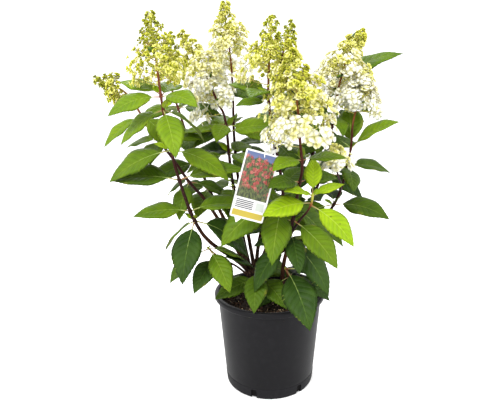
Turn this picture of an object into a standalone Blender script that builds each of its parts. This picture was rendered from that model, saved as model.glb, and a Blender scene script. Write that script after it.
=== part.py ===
"""Panicle hydrangea in a round nursery pot, one named object for each sub-part.

Metres, +Z up, the underside of the pot on z = 0 with the pot's axis at the origin.
The front, where the plant label hangs, faces -Y.

Every shoot follows one smooth route. Its lower run is a bare cane, the middle run
carries whorls of leaves, and the top run is the stalk of a panicle of florets.
"""
import math
from dataclasses import dataclass, field

import bmesh
import bpy
import numpy as np
from mathutils.bvhtree import BVHTree

MM = 0.001
GAP = 0.3 * MM
SEED = 41

# Pot
RIM_RADIUS = 0.115
BASE_RADIUS = 0.0925
POT_HEIGHT = 0.198
POT_WALL = 0.0024
POT_FLOOR = 0.003
LIP_HEIGHT = 0.010
LIP_REACH = 0.006
BASE_ROUND = 0.004
POT_SIDES = 32
SLOT_COUNT = 6
SLOT_WIDTH = 0.012
SLOT_HEIGHT = 0.020
SLOT_FIRST = math.radians(-110)
COMPOST_TOP = 0.178

# Plant label
CARD_WIDTH = 0.058
CARD_HEIGHT = 0.118
CARD_THICK = 0.8 * MM
CARD_CENTRE = (-0.0255, -0.140, 0.447)
CARD_ROLL = math.radians(15)
CARD_LEAN = math.radians(10)
STRAP_WIDTH = 0.006
STRAP_THICK = 0.8 * MM
STRAP_LOOP_HALF = 0.0045
STRAP_PLAY = 0.7 * MM

# Wood
CANE_FOOT_RADIUS = 4.4 * MM
SLIM_FOOT_RADIUS = 2.6 * MM
CANE_TIP_RADIUS = 1.5 * MM
CANE_SIDES = 6
STEM_SIDES = 5
STALK_SIDES = 4
TRUNK_RADIUS = 0.010
TRUNK_ROUTE = [(-28, 4, 178), (-32, 5, 215), (-34, 8, 244)]
ARM_TOP = 0.272

# Leaves
PETIOLE_SHARE = 0.16
PETIOLE_RADIUS = 1.1 * MM
LEAF_WIDTH_SHARE = 0.27
LEAF_THICK_SHARE = 0.014
LEAF_DROOP = math.radians(40)
FACE_TURN = math.radians(34)
REAR_LIFT = 16
LEAF_FOLD = math.radians(16)
LEAF_STATIONS = (0.2, 0.5, 0.8)

# Panicles
GOLDEN_TURN = math.pi * (3 - math.sqrt(5))
FLORET_RADIUS = 0.0135
FLORET_THICK = 0.003
BRANCHLET_RADIUS = 0.9 * MM
NECK_SHARE = 0.84


@dataclass
class Whorl:
    """Leaves round one node: height in mm, heading in degrees, length in mm, rise in degrees."""
    height: float
    heading: float
    length: float
    rise: float
    count: int = 3


@dataclass
class Bloom:
    """A panicle: foot height in mm, reach in mm at its foot, and how many florets it has."""
    foot: float
    reach: float
    florets: int


@dataclass
class Shoot:
    """A shoot: its route in mm, the height where its leafy run starts, its whorls and its panicle.

    A side shoot names the shoot whose stem it grows from. A rooted one springs from the compost,
    and any other from the woody crown. A slim one is a thin young shoot.
    """
    route: list
    leafy: float
    whorls: list = field(default_factory=list)
    bloom: Bloom = None
    side_of: str = ""
    rooted: bool = False
    slim: bool = False


SHOOTS = {
    "left": Shoot(
        route=[(-36, 2, 225), (-62, -12, 262), (-118, -40, 316), (-144, -60, 367), (-162, -80, 437),
               (-174, -92, 500), (-183, -100, 572), (-187, -100, 610), (-199, -92, 728)],
        leafy=346,
        whorls=[Whorl(363, -98, 130, -47), Whorl(384, -168, 106, -3, 2), Whorl(446, -177, 126, 0, 2),
                Whorl(502, -178, 128, -27, 2), Whorl(572, -66, 112, -42), Whorl(594, -39, 94, -10),
                Whorl(598, 156, 92, 14, 1)],
        bloom=Bloom(602, 44, 26)),
    "far_left": Shoot(
        route=[(-36, 6, 225), (-70, 2, 290), (-124, -8, 386), (-158, -14, 430), (-189, -18, 479),
               (-218, -20, 520), (-238, -20, 552), (-266, -22, 598), (-296, -26, 617), (-321, -28, 625)],
        leafy=404,
        whorls=[Whorl(430, 136, 92, -28), Whorl(512, 150, 92, -12), Whorl(559, -154, 92, -38)],
        bloom=Bloom(580, 24, 18)),
    "left_inner": Shoot(
        route=[(-34, 14, 225), (-48, 26, 262), (-79, 50, 427), (-92, 66, 545), (-107, 70, 581),
               (-134, 72, 643), (-155, 72, 681), (-178, 72, 718)],
        leafy=386,
        whorls=[Whorl(408, -108, 122, -26), Whorl(478, -49, 104, -16), Whorl(520, -20, 110, 8),
                Whorl(536, -116, 92, -24)],
        bloom=Bloom(548, 58, 26)),
    "left_rear": Shoot(
        route=[(-40, 12, 225), (-60, 28, 270), (-124, 62, 388), (-158, 90, 460), (-174, 104, 491),
               (-196, 122, 555), (-217, 132, 629), (-212, 134, 724)],
        leafy=372,
        whorls=[Whorl(400, 150, 104, -14), Whorl(452, 90, 104, -10), Whorl(512, 44, 104, -10),
                Whorl(570, 104, 96, -8)],
        bloom=Bloom(606, 35, 20)),
    "centre_rear": Shoot(
        route=[(-30, 14, 225), (-40, 40, 270), (-69, 90, 420), (-79, 120, 518), (-81, 140, 604),
               (-86, 150, 678), (-95, 152, 745), (-96, 152, 789)],
        leafy=388,
        whorls=[Whorl(412, 96, 108, -14), Whorl(470, 36, 108, -10), Whorl(536, 96, 106, -6),
                Whorl(606, -60, 92, -14)],
        bloom=Bloom(626, 58, 27)),
    "centre": Shoot(
        route=[(-26, 4, 225), (-8, -14, 280), (22, -46, 380), (24, -60, 430), (15, -72, 482),
               (7, -80, 537), (0, -82, 573), (-2, -82, 622), (3, -82, 725)],
        leafy=366,
        whorls=[Whorl(394, -102, 134, -42), Whorl(402, -176, 150, -38, 1), Whorl(426, 52, 84, 20),
                Whorl(584, -156, 64, -5, 1), Whorl(597, 150, 90, 12)],
        bloom=Bloom(602, 44, 21)),
    "centre_fork": Shoot(
        route=[(9, -78, 528), (14, -56, 560), (17, -28, 600), (21, -2, 650), (28, 8, 686), (42, 12, 729)],
        leafy=528, side_of="centre", slim=True,
        whorls=[Whorl(588, 30, 86, -6)],
        bloom=Bloom(632, 30, 17)),
    "front": Shoot(
        route=[(22, -31, 178), (27, -42, 262), (38, -68, 332), (44, -88, 380), (51, -110, 437),
               (56, -121, 475), (51, -130, 524), (46, -132, 580), (34, -132, 664)],
        leafy=308, rooted=True,
        whorls=[Whorl(328, -36, 130, -46), Whorl(346, -80, 94, -38), Whorl(372, -36, 122, -38, 2),
                Whorl(448, 30, 86, 0, 2), Whorl(488, -10, 78, 4)],
        bloom=Bloom(500, 68, 37)),
    "front_side": Shoot(
        route=[(40, -72, 342), (54, -92, 372), (68, -110, 396), (74, -119, 414), (75, -121, 430)],
        leafy=342, side_of="front", slim=True,
        whorls=[Whorl(408, -34, 106, -36, 1), Whorl(412, -154, 98, -8, 1), Whorl(420, -104, 72, -32, 1),
                Whorl(424, 20, 66, 16, 2), Whorl(428, 84, 72, 58, 1)]),
    "right": Shoot(
        route=[(-22, 8, 225), (0, 14, 262), (60, 22, 292), (98, 30, 323), (126, 40, 356), (150, 50, 400),
               (169, 58, 481), (173, 60, 543), (184, 60, 590), (196, 60, 642)],
        leafy=308,
        whorls=[Whorl(328, -78, 78, -14), Whorl(371, -30, 124, -8), Whorl(450, 12, 104, -10),
                Whorl(488, -34, 118, 30)],
        bloom=Bloom(548, 44, 19)),
    "right_side": Shoot(
        route=[(150, 50, 402), (146, 20, 420), (137, -8, 438), (129, -34, 458), (124, -50, 500)],
        leafy=402, side_of="right", slim=True,
        bloom=Bloom(440, 34, 14)),
    "right_rear": Shoot(
        route=[(-22, 16, 225), (10, 36, 270), (77, 70, 341), (111, 90, 420), (126, 100, 479),
               (133, 100, 514), (145, 100, 604), (157, 100, 656), (168, 100, 688), (195, 100, 722)],
        leafy=356,
        whorls=[Whorl(378, -57, 98, -22), Whorl(426, 68, 104, -14), Whorl(480, -80, 92, -10),
                Whorl(550, 26, 100, -8)],
        bloom=Bloom(570, 64, 30)),
    "right_tall": Shoot(
        route=[(-24, 20, 225), (-4, 46, 280), (46, 90, 360), (90, 122, 450), (118, 146, 530),
               (138, 158, 600), (156, 164, 650), (170, 166, 694)],
        leafy=380,
        whorls=[Whorl(402, 150, 104, -12), Whorl(462, 96, 104, -10), Whorl(524, 150, 100, -8),
                Whorl(590, 88, 96, -4), Whorl(620, -7, 165, 24, 1), Whorl(664, -24, 90, 48, 1),
                 Whorl(676, 30, 84, 52, 1)]),
    "rear": Shoot(
        route=[(-30, 22, 225), (-24, 56, 280), (-4, 104, 370), (8, 140, 460), (14, 160, 540),
               (16, 168, 610)],
        leafy=352,
        whorls=[Whorl(374, 60, 108, -18), Whorl(430, 120, 108, -14), Whorl(490, 60, 104, -10),
                Whorl(548, 120, 100, -4), Whorl(594, 70, 90, 10)]),
    "low_left": Shoot(
        route=[(-38, -4, 225), (-66, -34, 262), (-96, -56, 288), (-120, -68, 314)],
        leafy=258, slim=True,
        whorls=[Whorl(290, -118, 96, -28, 2), Whorl(310, -54, 100, -40)]),
    "low_front": Shoot(
        route=[(-18, -30, 178), (-20, -36, 230), (-24, -44, 262)],
        leafy=178, rooted=True, slim=True,
        whorls=[Whorl(238, -50, 92, -24), Whorl(259, -94, 98, -26)]),
    "low_right": Shoot(
        route=[(44, -12, 178), (40, -30, 230), (30, -60, 270)],
        leafy=178, rooted=True, slim=True,
        whorls=[Whorl(240, -20, 96, -24), Whorl(266, -69, 140, -34)]),
}


def clear_scene():
    for thing in list(bpy.data.objects):
        bpy.data.objects.remove(thing, do_unlink=True)


def material(name, colour, roughness, metallic=0.0):
    made = bpy.data.materials.new(name)
    made.use_nodes = True
    shader = made.node_tree.nodes["Principled BSDF"]
    shader.inputs["Base Color"].default_value = (*colour, 1.0)
    shader.inputs["Roughness"].default_value = roughness
    shader.inputs["Metallic"].default_value = metallic
    return made


def add_object(name, mesh, finish=None):
    made = bpy.data.objects.new(name, mesh)
    bpy.context.scene.collection.objects.link(made)
    if finish:
        mesh.materials.clear()
        mesh.materials.append(finish)
    return made


def mesh_from(name, points, faces):
    mesh = bpy.data.meshes.new(name)
    mesh.from_pydata([tuple(p) for p in points], [], faces)
    mesh.update()
    return mesh


def unit(vector):
    return vector / np.linalg.norm(vector)


class Route:
    """A smooth curve through hand-placed points, read by the height or the share of its length."""

    def __init__(self, points, per_span=8):
        knots = np.array(points, float) * MM
        knots = np.vstack([2 * knots[0] - knots[1], knots, 2 * knots[-1] - knots[-2]])
        run = []
        for a, b, c, d in zip(knots, knots[1:], knots[2:], knots[3:]):
            for t in np.arange(per_span) / per_span:
                run.append(0.5 * (2 * b + (c - a) * t + (2 * a - 5 * b + 4 * c - d) * t ** 2
                                  + (3 * b - a - 3 * c + d) * t ** 3))
        run.append(knots[-2])
        self.points = np.array(run)
        steps = np.linalg.norm(np.diff(self.points, axis=0), axis=1)
        self.along = np.concatenate([[0], np.cumsum(steps)])
        self.length = self.along[-1]

    def at(self, distance):
        return np.array([np.interp(distance, self.along, axis) for axis in self.points.T])

    def heading(self, distance):
        step = 4 * MM
        low = max(distance - step, 0)
        high = min(distance + step, self.length)
        return unit(self.at(high) - self.at(low))

    def to_height(self, height):
        return float(np.interp(height, self.points[:, 2], self.along))


def rings_to_mesh(name, rings, tip=None):
    """Join closed rings of points into one skin, with a flat foot and a flat or pointed end."""
    count = len(rings[0])
    points = [p for ring in rings for p in ring]
    faces = [tuple(reversed(range(count)))]
    for k in range(len(rings) - 1):
        low = k * count
        high = low + count
        for i in range(count):
            j = (i + 1) % count
            faces.append((low + i, low + j, high + j, high + i))
    last = (len(rings) - 1) * count
    if tip is None:
        faces.append(tuple(range(last, last + count)))
    else:
        points.append(tip)
        for i in range(count):
            faces.append((last + i, last + (i + 1) % count, len(points) - 1))
    return mesh_from(name, points, faces)


def tube(name, route, start, end, radii, sides, spacing=0.026, level_foot=False):
    """A tapering limb along part of a route. radii gives its radius at a distance from the foot."""
    runs = max(1, round((end - start) / spacing))
    rings = []
    across = unit(np.cross(route.heading(start), (0.0, 1.0, 0.3)))
    for distance in np.linspace(start, end, runs + 1):
        forward = route.heading(distance)
        across = unit(across - forward * np.dot(across, forward))
        aside = np.cross(forward, across)
        centre = route.at(distance)
        turns = [2 * math.pi * i / sides for i in range(sides)]
        rings.append([centre + radii(distance) * (math.cos(a) * across + math.sin(a) * aside)
                      for a in turns])
    if level_foot:
        rings[0] = [np.array([x, y, route.at(start)[2]]) for x, y, z in rings[0]]
    return rings_to_mesh(name, rings)


def cane_radius(route, foot=CANE_FOOT_RADIUS):
    """Radius of a cane at a distance along its route."""
    return lambda distance: foot + (CANE_TIP_RADIUS - foot) * min(1.0, distance / route.length)


def blade_half_width(share):
    """Half-width along a blade, as a share of its greatest: broad below the middle, long-pointed."""
    return 1.1 * math.sin(math.pi * share ** 0.82) ** 0.95 * (1 - 0.22 * share)


@dataclass
class Leaf:
    foot: np.ndarray
    heading: float
    rise: float
    length: float
    roll: float
    droop: float

    def spine(self, share):
        """Point, forward and upward directions where a drooping midrib has run share of its length."""
        steps = 24
        place = np.array(self.foot, float)
        flat = np.array([math.cos(self.heading), math.sin(self.heading), 0.0])
        lift = np.array([0.0, 0.0, 1.0])
        for k in range(steps):
            pitch = self.rise + self.droop * (0.5 - (k + 0.5) / steps * share)
            place = place + self.length * share / steps * (flat * math.cos(pitch) + lift * math.sin(pitch))
        pitch = self.rise + self.droop * (0.5 - share)
        forward = flat * math.cos(pitch) + lift * math.sin(pitch)
        side = np.cross(forward, np.cross(lift, forward))
        side = unit(np.cross(forward, side))
        upward = np.cross(side, forward)
        if upward[2] < 0:
            upward = -upward
            side = -side
        turned = math.cos(self.roll) * upward + math.sin(self.roll) * side
        return place, forward, turned

    def rings(self, thick, from_blade=False):
        found = []
        petiole = PETIOLE_RADIUS
        stops = [] if from_blade else [(0.0, petiole), (PETIOLE_SHARE, petiole)]
        if from_blade:
            stops = [(PETIOLE_SHARE * 1.15, petiole)]
        width = self.length * (1 - PETIOLE_SHARE) * LEAF_WIDTH_SHARE
        for share in LEAF_STATIONS:
            stops.append((PETIOLE_SHARE + (1 - PETIOLE_SHARE) * share, width * blade_half_width(share)))
        for share, half in stops:
            place, forward, upward = self.spine(share)
            side = unit(np.cross(forward, upward))
            rise = half * math.sin(LEAF_FOLD) if half > petiole else 0.0
            reach = half * math.cos(LEAF_FOLD) if half > petiole else half
            depth = thick if half > petiole else half
            found.append([place - side * reach + upward * rise, place + upward * depth / 2,
                          place + side * reach + upward * rise, place - upward * depth / 2])
        return found, self.spine(1.0)[0]

    def mesh(self, name, thick=None, from_blade=False):
        rings, tip = self.rings(thick or self.length * LEAF_THICK_SHARE, from_blade)
        return rings_to_mesh(name, rings, tip)


def tree_of(mesh):
    points = [v.co[:] for v in mesh.vertices]
    faces = [tuple(p.vertices) for p in mesh.polygons]
    return BVHTree.FromPolygons(points, faces), np.array(points).min(0), np.array(points).max(0)


class Space:
    """What already takes up room round a new piece."""

    def __init__(self):
        self.held = []

    def hold(self, owner, mesh):
        self.held.append((owner, *tree_of(mesh)))

    def clear(self, mesh, skip=()):
        tree, low, high = tree_of(mesh)
        for owner, other, other_low, other_high in self.held:
            if owner in skip or (other_low > high).any() or (other_high < low).any():
                continue
            if tree.overlap(other):
                return False
        return True


def spray_mesh(name, foot, end, normal, radius, spin):
    """A three-sided twig that widens at its end into a floret, as one solid."""
    forward = unit(end - foot)
    rings = []
    for centre, axis, size in ((foot, forward, BRANCHLET_RADIUS),
                               (foot + (end - foot) * NECK_SHARE, forward, BRANCHLET_RADIUS * 0.7),
                               (end, normal, radius)):
        side = unit(np.cross(axis, (0.3, 0.5, 0.8)))
        other = np.cross(axis, side)
        rings.append([centre + size * (math.cos(spin + a) * side + math.sin(spin + a) * other)
                      for a in (0, 2 * math.pi / 3, 4 * math.pi / 3)])
    return rings_to_mesh(name, rings, end + normal * FLORET_THICK)


def fuse(name, meshes, finish):
    """Join solids into one closed skin, and keep only its largest outer body."""
    trunk, *rest = [bpy.data.objects.new(f"{name}_piece", mesh) for mesh in meshes]
    bpy.context.scene.collection.objects.link(trunk)
    if rest:
        group = bpy.data.collections.new(f"{name}_pieces")
        bpy.context.scene.collection.children.link(group)
        for piece in rest:
            group.objects.link(piece)
        union = trunk.modifiers.new("union", "BOOLEAN")
        union.operation = "UNION"
        union.operand_type = "COLLECTION"
        union.solver = "MANIFOLD"
        union.collection = group
    shaped = trunk.evaluated_get(bpy.context.evaluated_depsgraph_get())
    joined = bpy.data.meshes.new_from_object(shaped)
    joined.name = name
    for piece in [trunk, *rest]:
        bpy.data.objects.remove(piece, do_unlink=True)
    if rest:
        bpy.data.collections.remove(group)
    keep_largest(joined)
    return add_object(name, joined, finish)


def keep_largest(mesh):
    """Drop loose scraps and the skins of sealed hollows."""
    work = bmesh.new()
    work.from_mesh(mesh)
    left = set(work.verts)
    groups = []
    while left:
        group = [left.pop()]
        for vertex in group:
            for edge in vertex.link_edges:
                other = edge.other_vert(vertex)
                if other in left:
                    left.remove(other)
                    group.append(other)
        groups.append(group)
    groups.sort(key=len)
    for group in groups[:-1]:
        bmesh.ops.delete(work, geom=group, context="VERTS")
    bmesh.ops.triangulate(work, faces=work.faces)
    work.to_mesh(mesh)
    work.free()


def smooth(thing, degrees=40):
    thing.data.shade_smooth()
    thing.data.set_sharp_from_angle(angle=math.radians(degrees))


def wall_radius(height):
    """Outer radius of the pot's tapering wall."""
    top = RIM_RADIUS - LIP_REACH
    return BASE_RADIUS + (top - BASE_RADIUS) * height / POT_HEIGHT


def spin_profile(name, profile, sides):
    """Turn a closed profile of (radius, height) round the Z axis."""
    work = bmesh.new()
    corners = [work.verts.new((r, 0.0, z)) for r, z in profile]
    edges = [work.edges.new((a, b)) for a, b in zip(corners, corners[1:])]
    bmesh.ops.spin(work, geom=corners + edges, cent=(0, 0, 0), axis=(0, 0, 1), angle=2 * math.pi,
                   steps=sides, use_merge=True)
    bmesh.ops.remove_doubles(work, verts=work.verts, dist=0.01 * MM)
    bmesh.ops.recalc_face_normals(work, faces=work.faces)
    mesh = bpy.data.meshes.new(name)
    work.to_mesh(mesh)
    work.free()
    return mesh


def slot_cutter(index):
    """A drain slot with a round-cornered top, open through the wall and the edge of the floor."""
    corner = SLOT_WIDTH * 0.32
    outline = [(-SLOT_WIDTH / 2, -0.01), (SLOT_WIDTH / 2, -0.01)]
    for side, first in ((1, 0.0), (-1, math.pi / 2)):
        for k in range(4):
            angle = first + math.pi / 6 * k
            outline.append((side * (SLOT_WIDTH / 2 - corner) + corner * math.cos(angle),
                            SLOT_HEIGHT - corner + corner * math.sin(angle)))
    near = BASE_RADIUS - 0.012
    far = BASE_RADIUS + 0.012
    points = [(r, u, z) for r in (near, far) for u, z in outline]
    count = len(outline)
    faces = [tuple(reversed(range(count))), tuple(range(count, 2 * count))]
    for i in range(count):
        j = (i + 1) % count
        faces.append((i, j, count + j, count + i))
    cutter = add_object(f"slot_cutter_{index + 1}", mesh_from("slot_cutter", points, faces))
    cutter.rotation_euler = (0, 0, SLOT_FIRST + 2 * math.pi * index / SLOT_COUNT)
    cutter.hide_render = True
    cutter.display_type = "WIRE"
    return cutter


def build_pot(finish):
    floor_edge = BASE_RADIUS - BASE_ROUND
    inner = POT_HEIGHT - LIP_HEIGHT
    profile = [(0, 0), (floor_edge, 0), (BASE_RADIUS - 0.3 * BASE_ROUND, 0.3 * BASE_ROUND),
               (wall_radius(BASE_ROUND), BASE_ROUND), (wall_radius(inner), inner),
               (RIM_RADIUS - 0.002, inner), (RIM_RADIUS, inner + 0.002), (RIM_RADIUS, POT_HEIGHT - 0.002),
               (RIM_RADIUS - 0.002, POT_HEIGHT), (wall_radius(POT_HEIGHT) - POT_WALL, POT_HEIGHT),
               (wall_radius(POT_FLOOR) - POT_WALL, POT_FLOOR), (0, POT_FLOOR)]
    pot = add_object("pot", spin_profile("pot", profile, POT_SIDES), finish)
    for index in range(SLOT_COUNT):
        cut = pot.modifiers.new(f"slot_{index + 1}", "BOOLEAN")
        cut.operation = "DIFFERENCE"
        cut.object = slot_cutter(index)
    smooth(pot)
    return pot


def build_compost(finish):
    low = POT_FLOOR + GAP
    lower = wall_radius(low) - POT_WALL - GAP
    upper = wall_radius(COMPOST_TOP) - POT_WALL - GAP
    profile = [(0, low), (lower, low), (upper, COMPOST_TOP), (0, COMPOST_TOP)]
    compost = add_object("compost", spin_profile("compost", profile, POT_SIDES), finish)
    smooth(compost)
    return compost


def card_frame():
    """Directions across, up and out of the label card."""
    across = np.array([math.cos(CARD_ROLL), 0.0, -math.sin(CARD_ROLL)])
    out = np.array([0.0, -math.cos(CARD_LEAN), math.sin(CARD_LEAN)])
    out = unit(out - across * np.dot(out, across))
    up = np.cross(out, across)
    return across, up, out


def slab(name, outline, across, up, out, centre, low, high):
    """A flat plate of the given outline between two offsets along its outward direction."""
    count = len(outline)
    points = []
    for offset in (low, high):
        points += [centre + across * u + up * v + out * offset for u, v in outline]
    faces = [tuple(reversed(range(count))), tuple(range(count, 2 * count))]
    for i in range(count):
        j = (i + 1) % count
        faces.append((i, j, count + j, count + i))
    return mesh_from(name, points, faces)


def rounded_outline(width, height, corner, per_corner=3):
    found = []
    for k, (sx, sy) in enumerate(((1, 1), (-1, 1), (-1, -1), (1, -1))):
        for i in range(per_corner + 1):
            angle = math.pi / 2 * (k + i / per_corner)
            found.append((sx * (width / 2 - corner) + corner * math.cos(angle),
                          sy * (height / 2 - corner) + corner * math.sin(angle)))
    return found


def strap_mesh(anchor, stem, stem_radius_there):
    """A flat strap from the back of the card, round a stem and back again, as one band."""
    level = np.array([0.0, 0.0, 1.0])
    away = stem - anchor
    away[2] = 0
    distance = np.linalg.norm(away)
    ahead = away / distance
    aside = np.cross(level, ahead)
    beyond = stem_radius_there + STRAP_PLAY + STRAP_THICK / 2
    half = STRAP_LOOP_HALF
    line = [(0.0, -0.8 * half), (distance * 0.55, -half)]
    line += [(distance + beyond * math.sin(a), -half * math.cos(a))
             for a in np.linspace(0.1, math.pi - 0.1, 9)]
    line += [(distance * 0.55, half), (0.0, 0.8 * half)]
    points = []
    for k, (run, drift) in enumerate(line):
        before = line[max(k - 1, 0)]
        after = line[min(k + 1, len(line) - 1)]
        slope = unit(np.array([after[0] - before[0], after[1] - before[1]]))
        normal = np.array([slope[1], -slope[0]]) * STRAP_THICK / 2
        sink = (stem[2] - anchor[2]) * run / distance
        for side in (1, -1):
            place = anchor + ahead * (run + side * normal[0]) + aside * (drift + side * normal[1])
            place = place + level * sink
            points.append((place - level * STRAP_WIDTH / 2, place + level * STRAP_WIDTH / 2))
    rings = []
    for k in range(len(line)):
        outer, inner = points[2 * k], points[2 * k + 1]
        rings.append([inner[0], inner[1], outer[1], outer[0]])
    return rings_to_mesh("strap", rings)


def build_label(finish, routes, space):
    across, up, out = card_frame()
    centre = np.array(CARD_CENTRE)
    card = slab("card", rounded_outline(CARD_WIDTH, CARD_HEIGHT, 0.003), across, up, out, centre,
                -CARD_THICK / 2, CARD_THICK / 2)
    anchor = centre + up * (CARD_HEIGHT / 2 - 0.006)
    route = routes["centre"]
    hung = route.to_height(anchor[2] + 0.004)
    strap = strap_mesh(anchor, route.at(hung), stem_radius("centre", routes)(hung))
    half = 0.004
    foot = -CARD_HEIGHT / 2
    tail = [(-half, foot + 0.002), (-1.6 * half, foot + 0.001), (0, foot - 0.009),
            (1.6 * half, foot + 0.001), (half, foot + 0.002), (half, CARD_HEIGHT / 2 - 0.01),
            (-half, CARD_HEIGHT / 2 - 0.01)]
    shift = -0.014
    tail = [(u + shift * (CARD_HEIGHT / 2 - v) / CARD_HEIGHT, v) for u, v in tail]
    strip = slab("tail", tail, across, up, out, centre, -CARD_THICK * 1.3, -CARD_THICK * 0.2)
    label = fuse("label", [card, strap, strip], finish)
    space.hold("label", label.data)
    return label


def hold_wood(routes, space):
    """Reserve the room of every cane, stem and panicle stalk before anything is placed."""
    wood = {}
    for name, shoot in SHOOTS.items():
        route = routes[name]
        wood[name] = tube(f"{name}_wood", route, 0.0, route.length, cane_radius(route), CANE_SIDES)
        space.hold(f"wood_{name}", wood[name])
    return wood


def body_of(name):
    """The shoot whose foliage a side shoot is fused to."""
    return SHOOTS[name].side_of or name


def stem_radius(name, routes):
    route = routes[name]
    return cane_radius(route, SLIM_FOOT_RADIUS if SHOOTS[name].slim else CANE_FOOT_RADIUS)


def grow_whorls(name, routes, space, rng):
    """Place each leaf of a shoot where it is clear, by small turns from the heading it wants.

    Leaves turn towards the light at the front: those at the sides roll their upper faces forwards,
    and those behind stand higher.
    """
    route = routes[name]
    owner = f"foliage_{body_of(name)}"
    petioles = f"petioles_{body_of(name)}"
    own_wood = [f"wood_{other}" for other in SHOOTS if body_of(other) == body_of(name)]
    leaves = []
    for whorl in SHOOTS[name].whorls:
        distance = route.to_height(whorl.height * MM)
        foot = route.at(distance)
        for k in range(whorl.count):
            lean, roll, size, droop = rng.uniform(-1, 1, 4)
            hero = k == 0
            length = whorl.length * MM * (1 + (0.0 if hero else 0.10) * size)
            heading = math.radians(whorl.heading + 360 / whorl.count * k)
            rise = math.radians(whorl.rise + (0 if hero else 7 * lean + REAR_LIFT * math.sin(heading)))
            roll = math.radians(14) * roll + FACE_TURN * math.cos(heading)
            for turn, lift in ((0, 0), (9, 0), (-9, 0), (0, 10), (0, -10), (18, 6), (-18, 6), (27, -8),
                               (-27, -8), (12, 20), (-12, 20), (36, 0), (-36, 0), (20, -20), (-20, -20),
                               (48, 10), (-48, 10), (30, 30), (-30, 30)):
                leaf = Leaf(foot, heading + math.radians(turn), rise + math.radians(lift), length,
                            roll, LEAF_DROOP * (1 + 0.25 * droop))
                fat = leaf.mesh("probe", 3 * MM)
                blade = leaf.mesh("probe", 3 * MM, from_blade=True)
                own = [owner, petioles, *own_wood]
                if space.clear(fat, skip=own) and space.clear(blade, skip=[petioles]):
                    leaves.append(leaf)
                    space.hold(owner, blade)
                    space.hold(petioles, fat)
                    break
            else:
                print(f"{name}: leaf {k + 1} at {whorl.height} mm has no room")
    return leaves


def grow_panicle(name, routes, space, rng):
    """Branchlets in a golden spiral up the stalk, each with a floret, longest at the foot."""
    route = routes[name]
    bloom = SHOOTS[name].bloom
    start = route.to_height(bloom.foot * MM) + GAP
    radii = stem_radius(name, routes)
    owner = f"panicle_{name}"
    stalk = tube(owner, route, start, route.length, radii, STALK_SIDES, spacing=0.040)
    pieces = [stalk]
    for k in range(bloom.florets):
        share = ((k + 0.5) / bloom.florets) ** 0.9
        distance = start + 0.008 + (route.length - start - 0.010) * share
        foot = route.at(distance)
        forward = route.heading(distance)
        turn = GOLDEN_TURN * k + rng.uniform(-0.3, 0.3)
        side = unit(np.cross(forward, (0.13, 0.97, 0.2)))
        other = np.cross(forward, side)
        outward = math.cos(turn) * side + math.sin(turn) * other
        lift = 0.25 + 1.1 * share + rng.uniform(-0.15, 0.15)
        reach = (bloom.reach * (1 - share) ** 0.8 * rng.uniform(0.72, 1.0) + 6) * MM
        radius = FLORET_RADIUS * (1.0 - 0.5 * share)
        spin = rng.uniform(0, 2)
        for stretch in (1.0, 0.84, 1.12, 0.7, 0.58):
            along = unit(outward + forward * lift)
            end = foot + along * reach * stretch
            normal = unit(along + np.array([0.0, 0.0, 0.25]))
            spray = spray_mesh("spray", foot, end, normal, radius, spin)
            head = spray_mesh("probe", foot + along * 0.008, end, normal, radius + 1 * MM, spin)
            if space.clear(head, skip=(f"wood_{name}",)):
                pieces.append(spray)
                space.hold(owner, head)
                break
    return pieces


def build_wood(routes, finish):
    """The woody crown with the arms that leave it, and the bare canes that carry on from them."""
    trunk = Route(TRUNK_ROUTE)
    arms = [tube("trunk", trunk, GAP, trunk.length, lambda distance: TRUNK_RADIUS - 0.03 * distance, 8,
                 level_foot=True)]
    for name, shoot in SHOOTS.items():
        if shoot.side_of:
            continue
        route = routes[name]
        radii = stem_radius(name, routes)
        leafy = route.to_height(shoot.leafy * MM)
        foot = GAP
        if not shoot.rooted:
            arm = min(route.to_height(ARM_TOP), leafy)
            arms.append(tube("arm", route, 0.0, arm, radii, CANE_SIDES))
            foot = arm + GAP
        if leafy > foot:
            cane = tube("cane", route, foot, leafy, radii, CANE_SIDES, level_foot=shoot.rooted)
            smooth(add_object(f"cane_{name}", cane, finish), 60)
    smooth(fuse("crown", arms, finish), 60)


def build_foliage(name, routes, foliage, finish):
    """The leafy stem of a shoot and of its side shoots, with every leaf fused on."""
    meshes = []
    for member in [name] + [other for other in SHOOTS if SHOOTS[other].side_of == name]:
        shoot = SHOOTS[member]
        route = routes[member]
        first = route.to_height(shoot.leafy * MM) + (0 if shoot.side_of else GAP)
        last = route.to_height(shoot.bloom.foot * MM) if shoot.bloom else route.length
        level = shoot.rooted and first <= GAP
        meshes.append(tube("stem", route, first, last, stem_radius(member, routes), STEM_SIDES,
                           level_foot=level))
        meshes += [leaf.mesh("leaf") for leaf in foliage[member]]
    fuse(f"foliage_{name}", meshes, finish)


def build():
    clear_scene()
    black = material("pot black", (0.018, 0.019, 0.021), 0.55)
    earth = material("compost brown", (0.045, 0.026, 0.016), 0.95)
    bark = material("bark red-brown", (0.085, 0.030, 0.022), 0.6)
    green = material("leaf green", (0.10, 0.26, 0.035), 0.5)
    cream = material("floret cream", (0.66, 0.72, 0.36), 0.6)
    white = material("label white", (0.82, 0.82, 0.80), 0.4)

    space = Space()
    routes = {name: Route(shoot.route) for name, shoot in SHOOTS.items()}
    space.hold("pot", build_pot(black).data)
    space.hold("compost", build_compost(earth).data)
    hold_wood(routes, space)
    build_label(white, routes, space)

    rng = np.random.default_rng(SEED)
    for name, shoot in SHOOTS.items():
        if shoot.bloom:
            fuse(f"panicle_{name}", grow_panicle(name, routes, space, rng), cream)
    foliage = {name: grow_whorls(name, routes, space, rng) for name in SHOOTS}

    build_wood(routes, bark)
    for name, shoot in SHOOTS.items():
        if not shoot.side_of:
            build_foliage(name, routes, foliage, green)


build()
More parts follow.
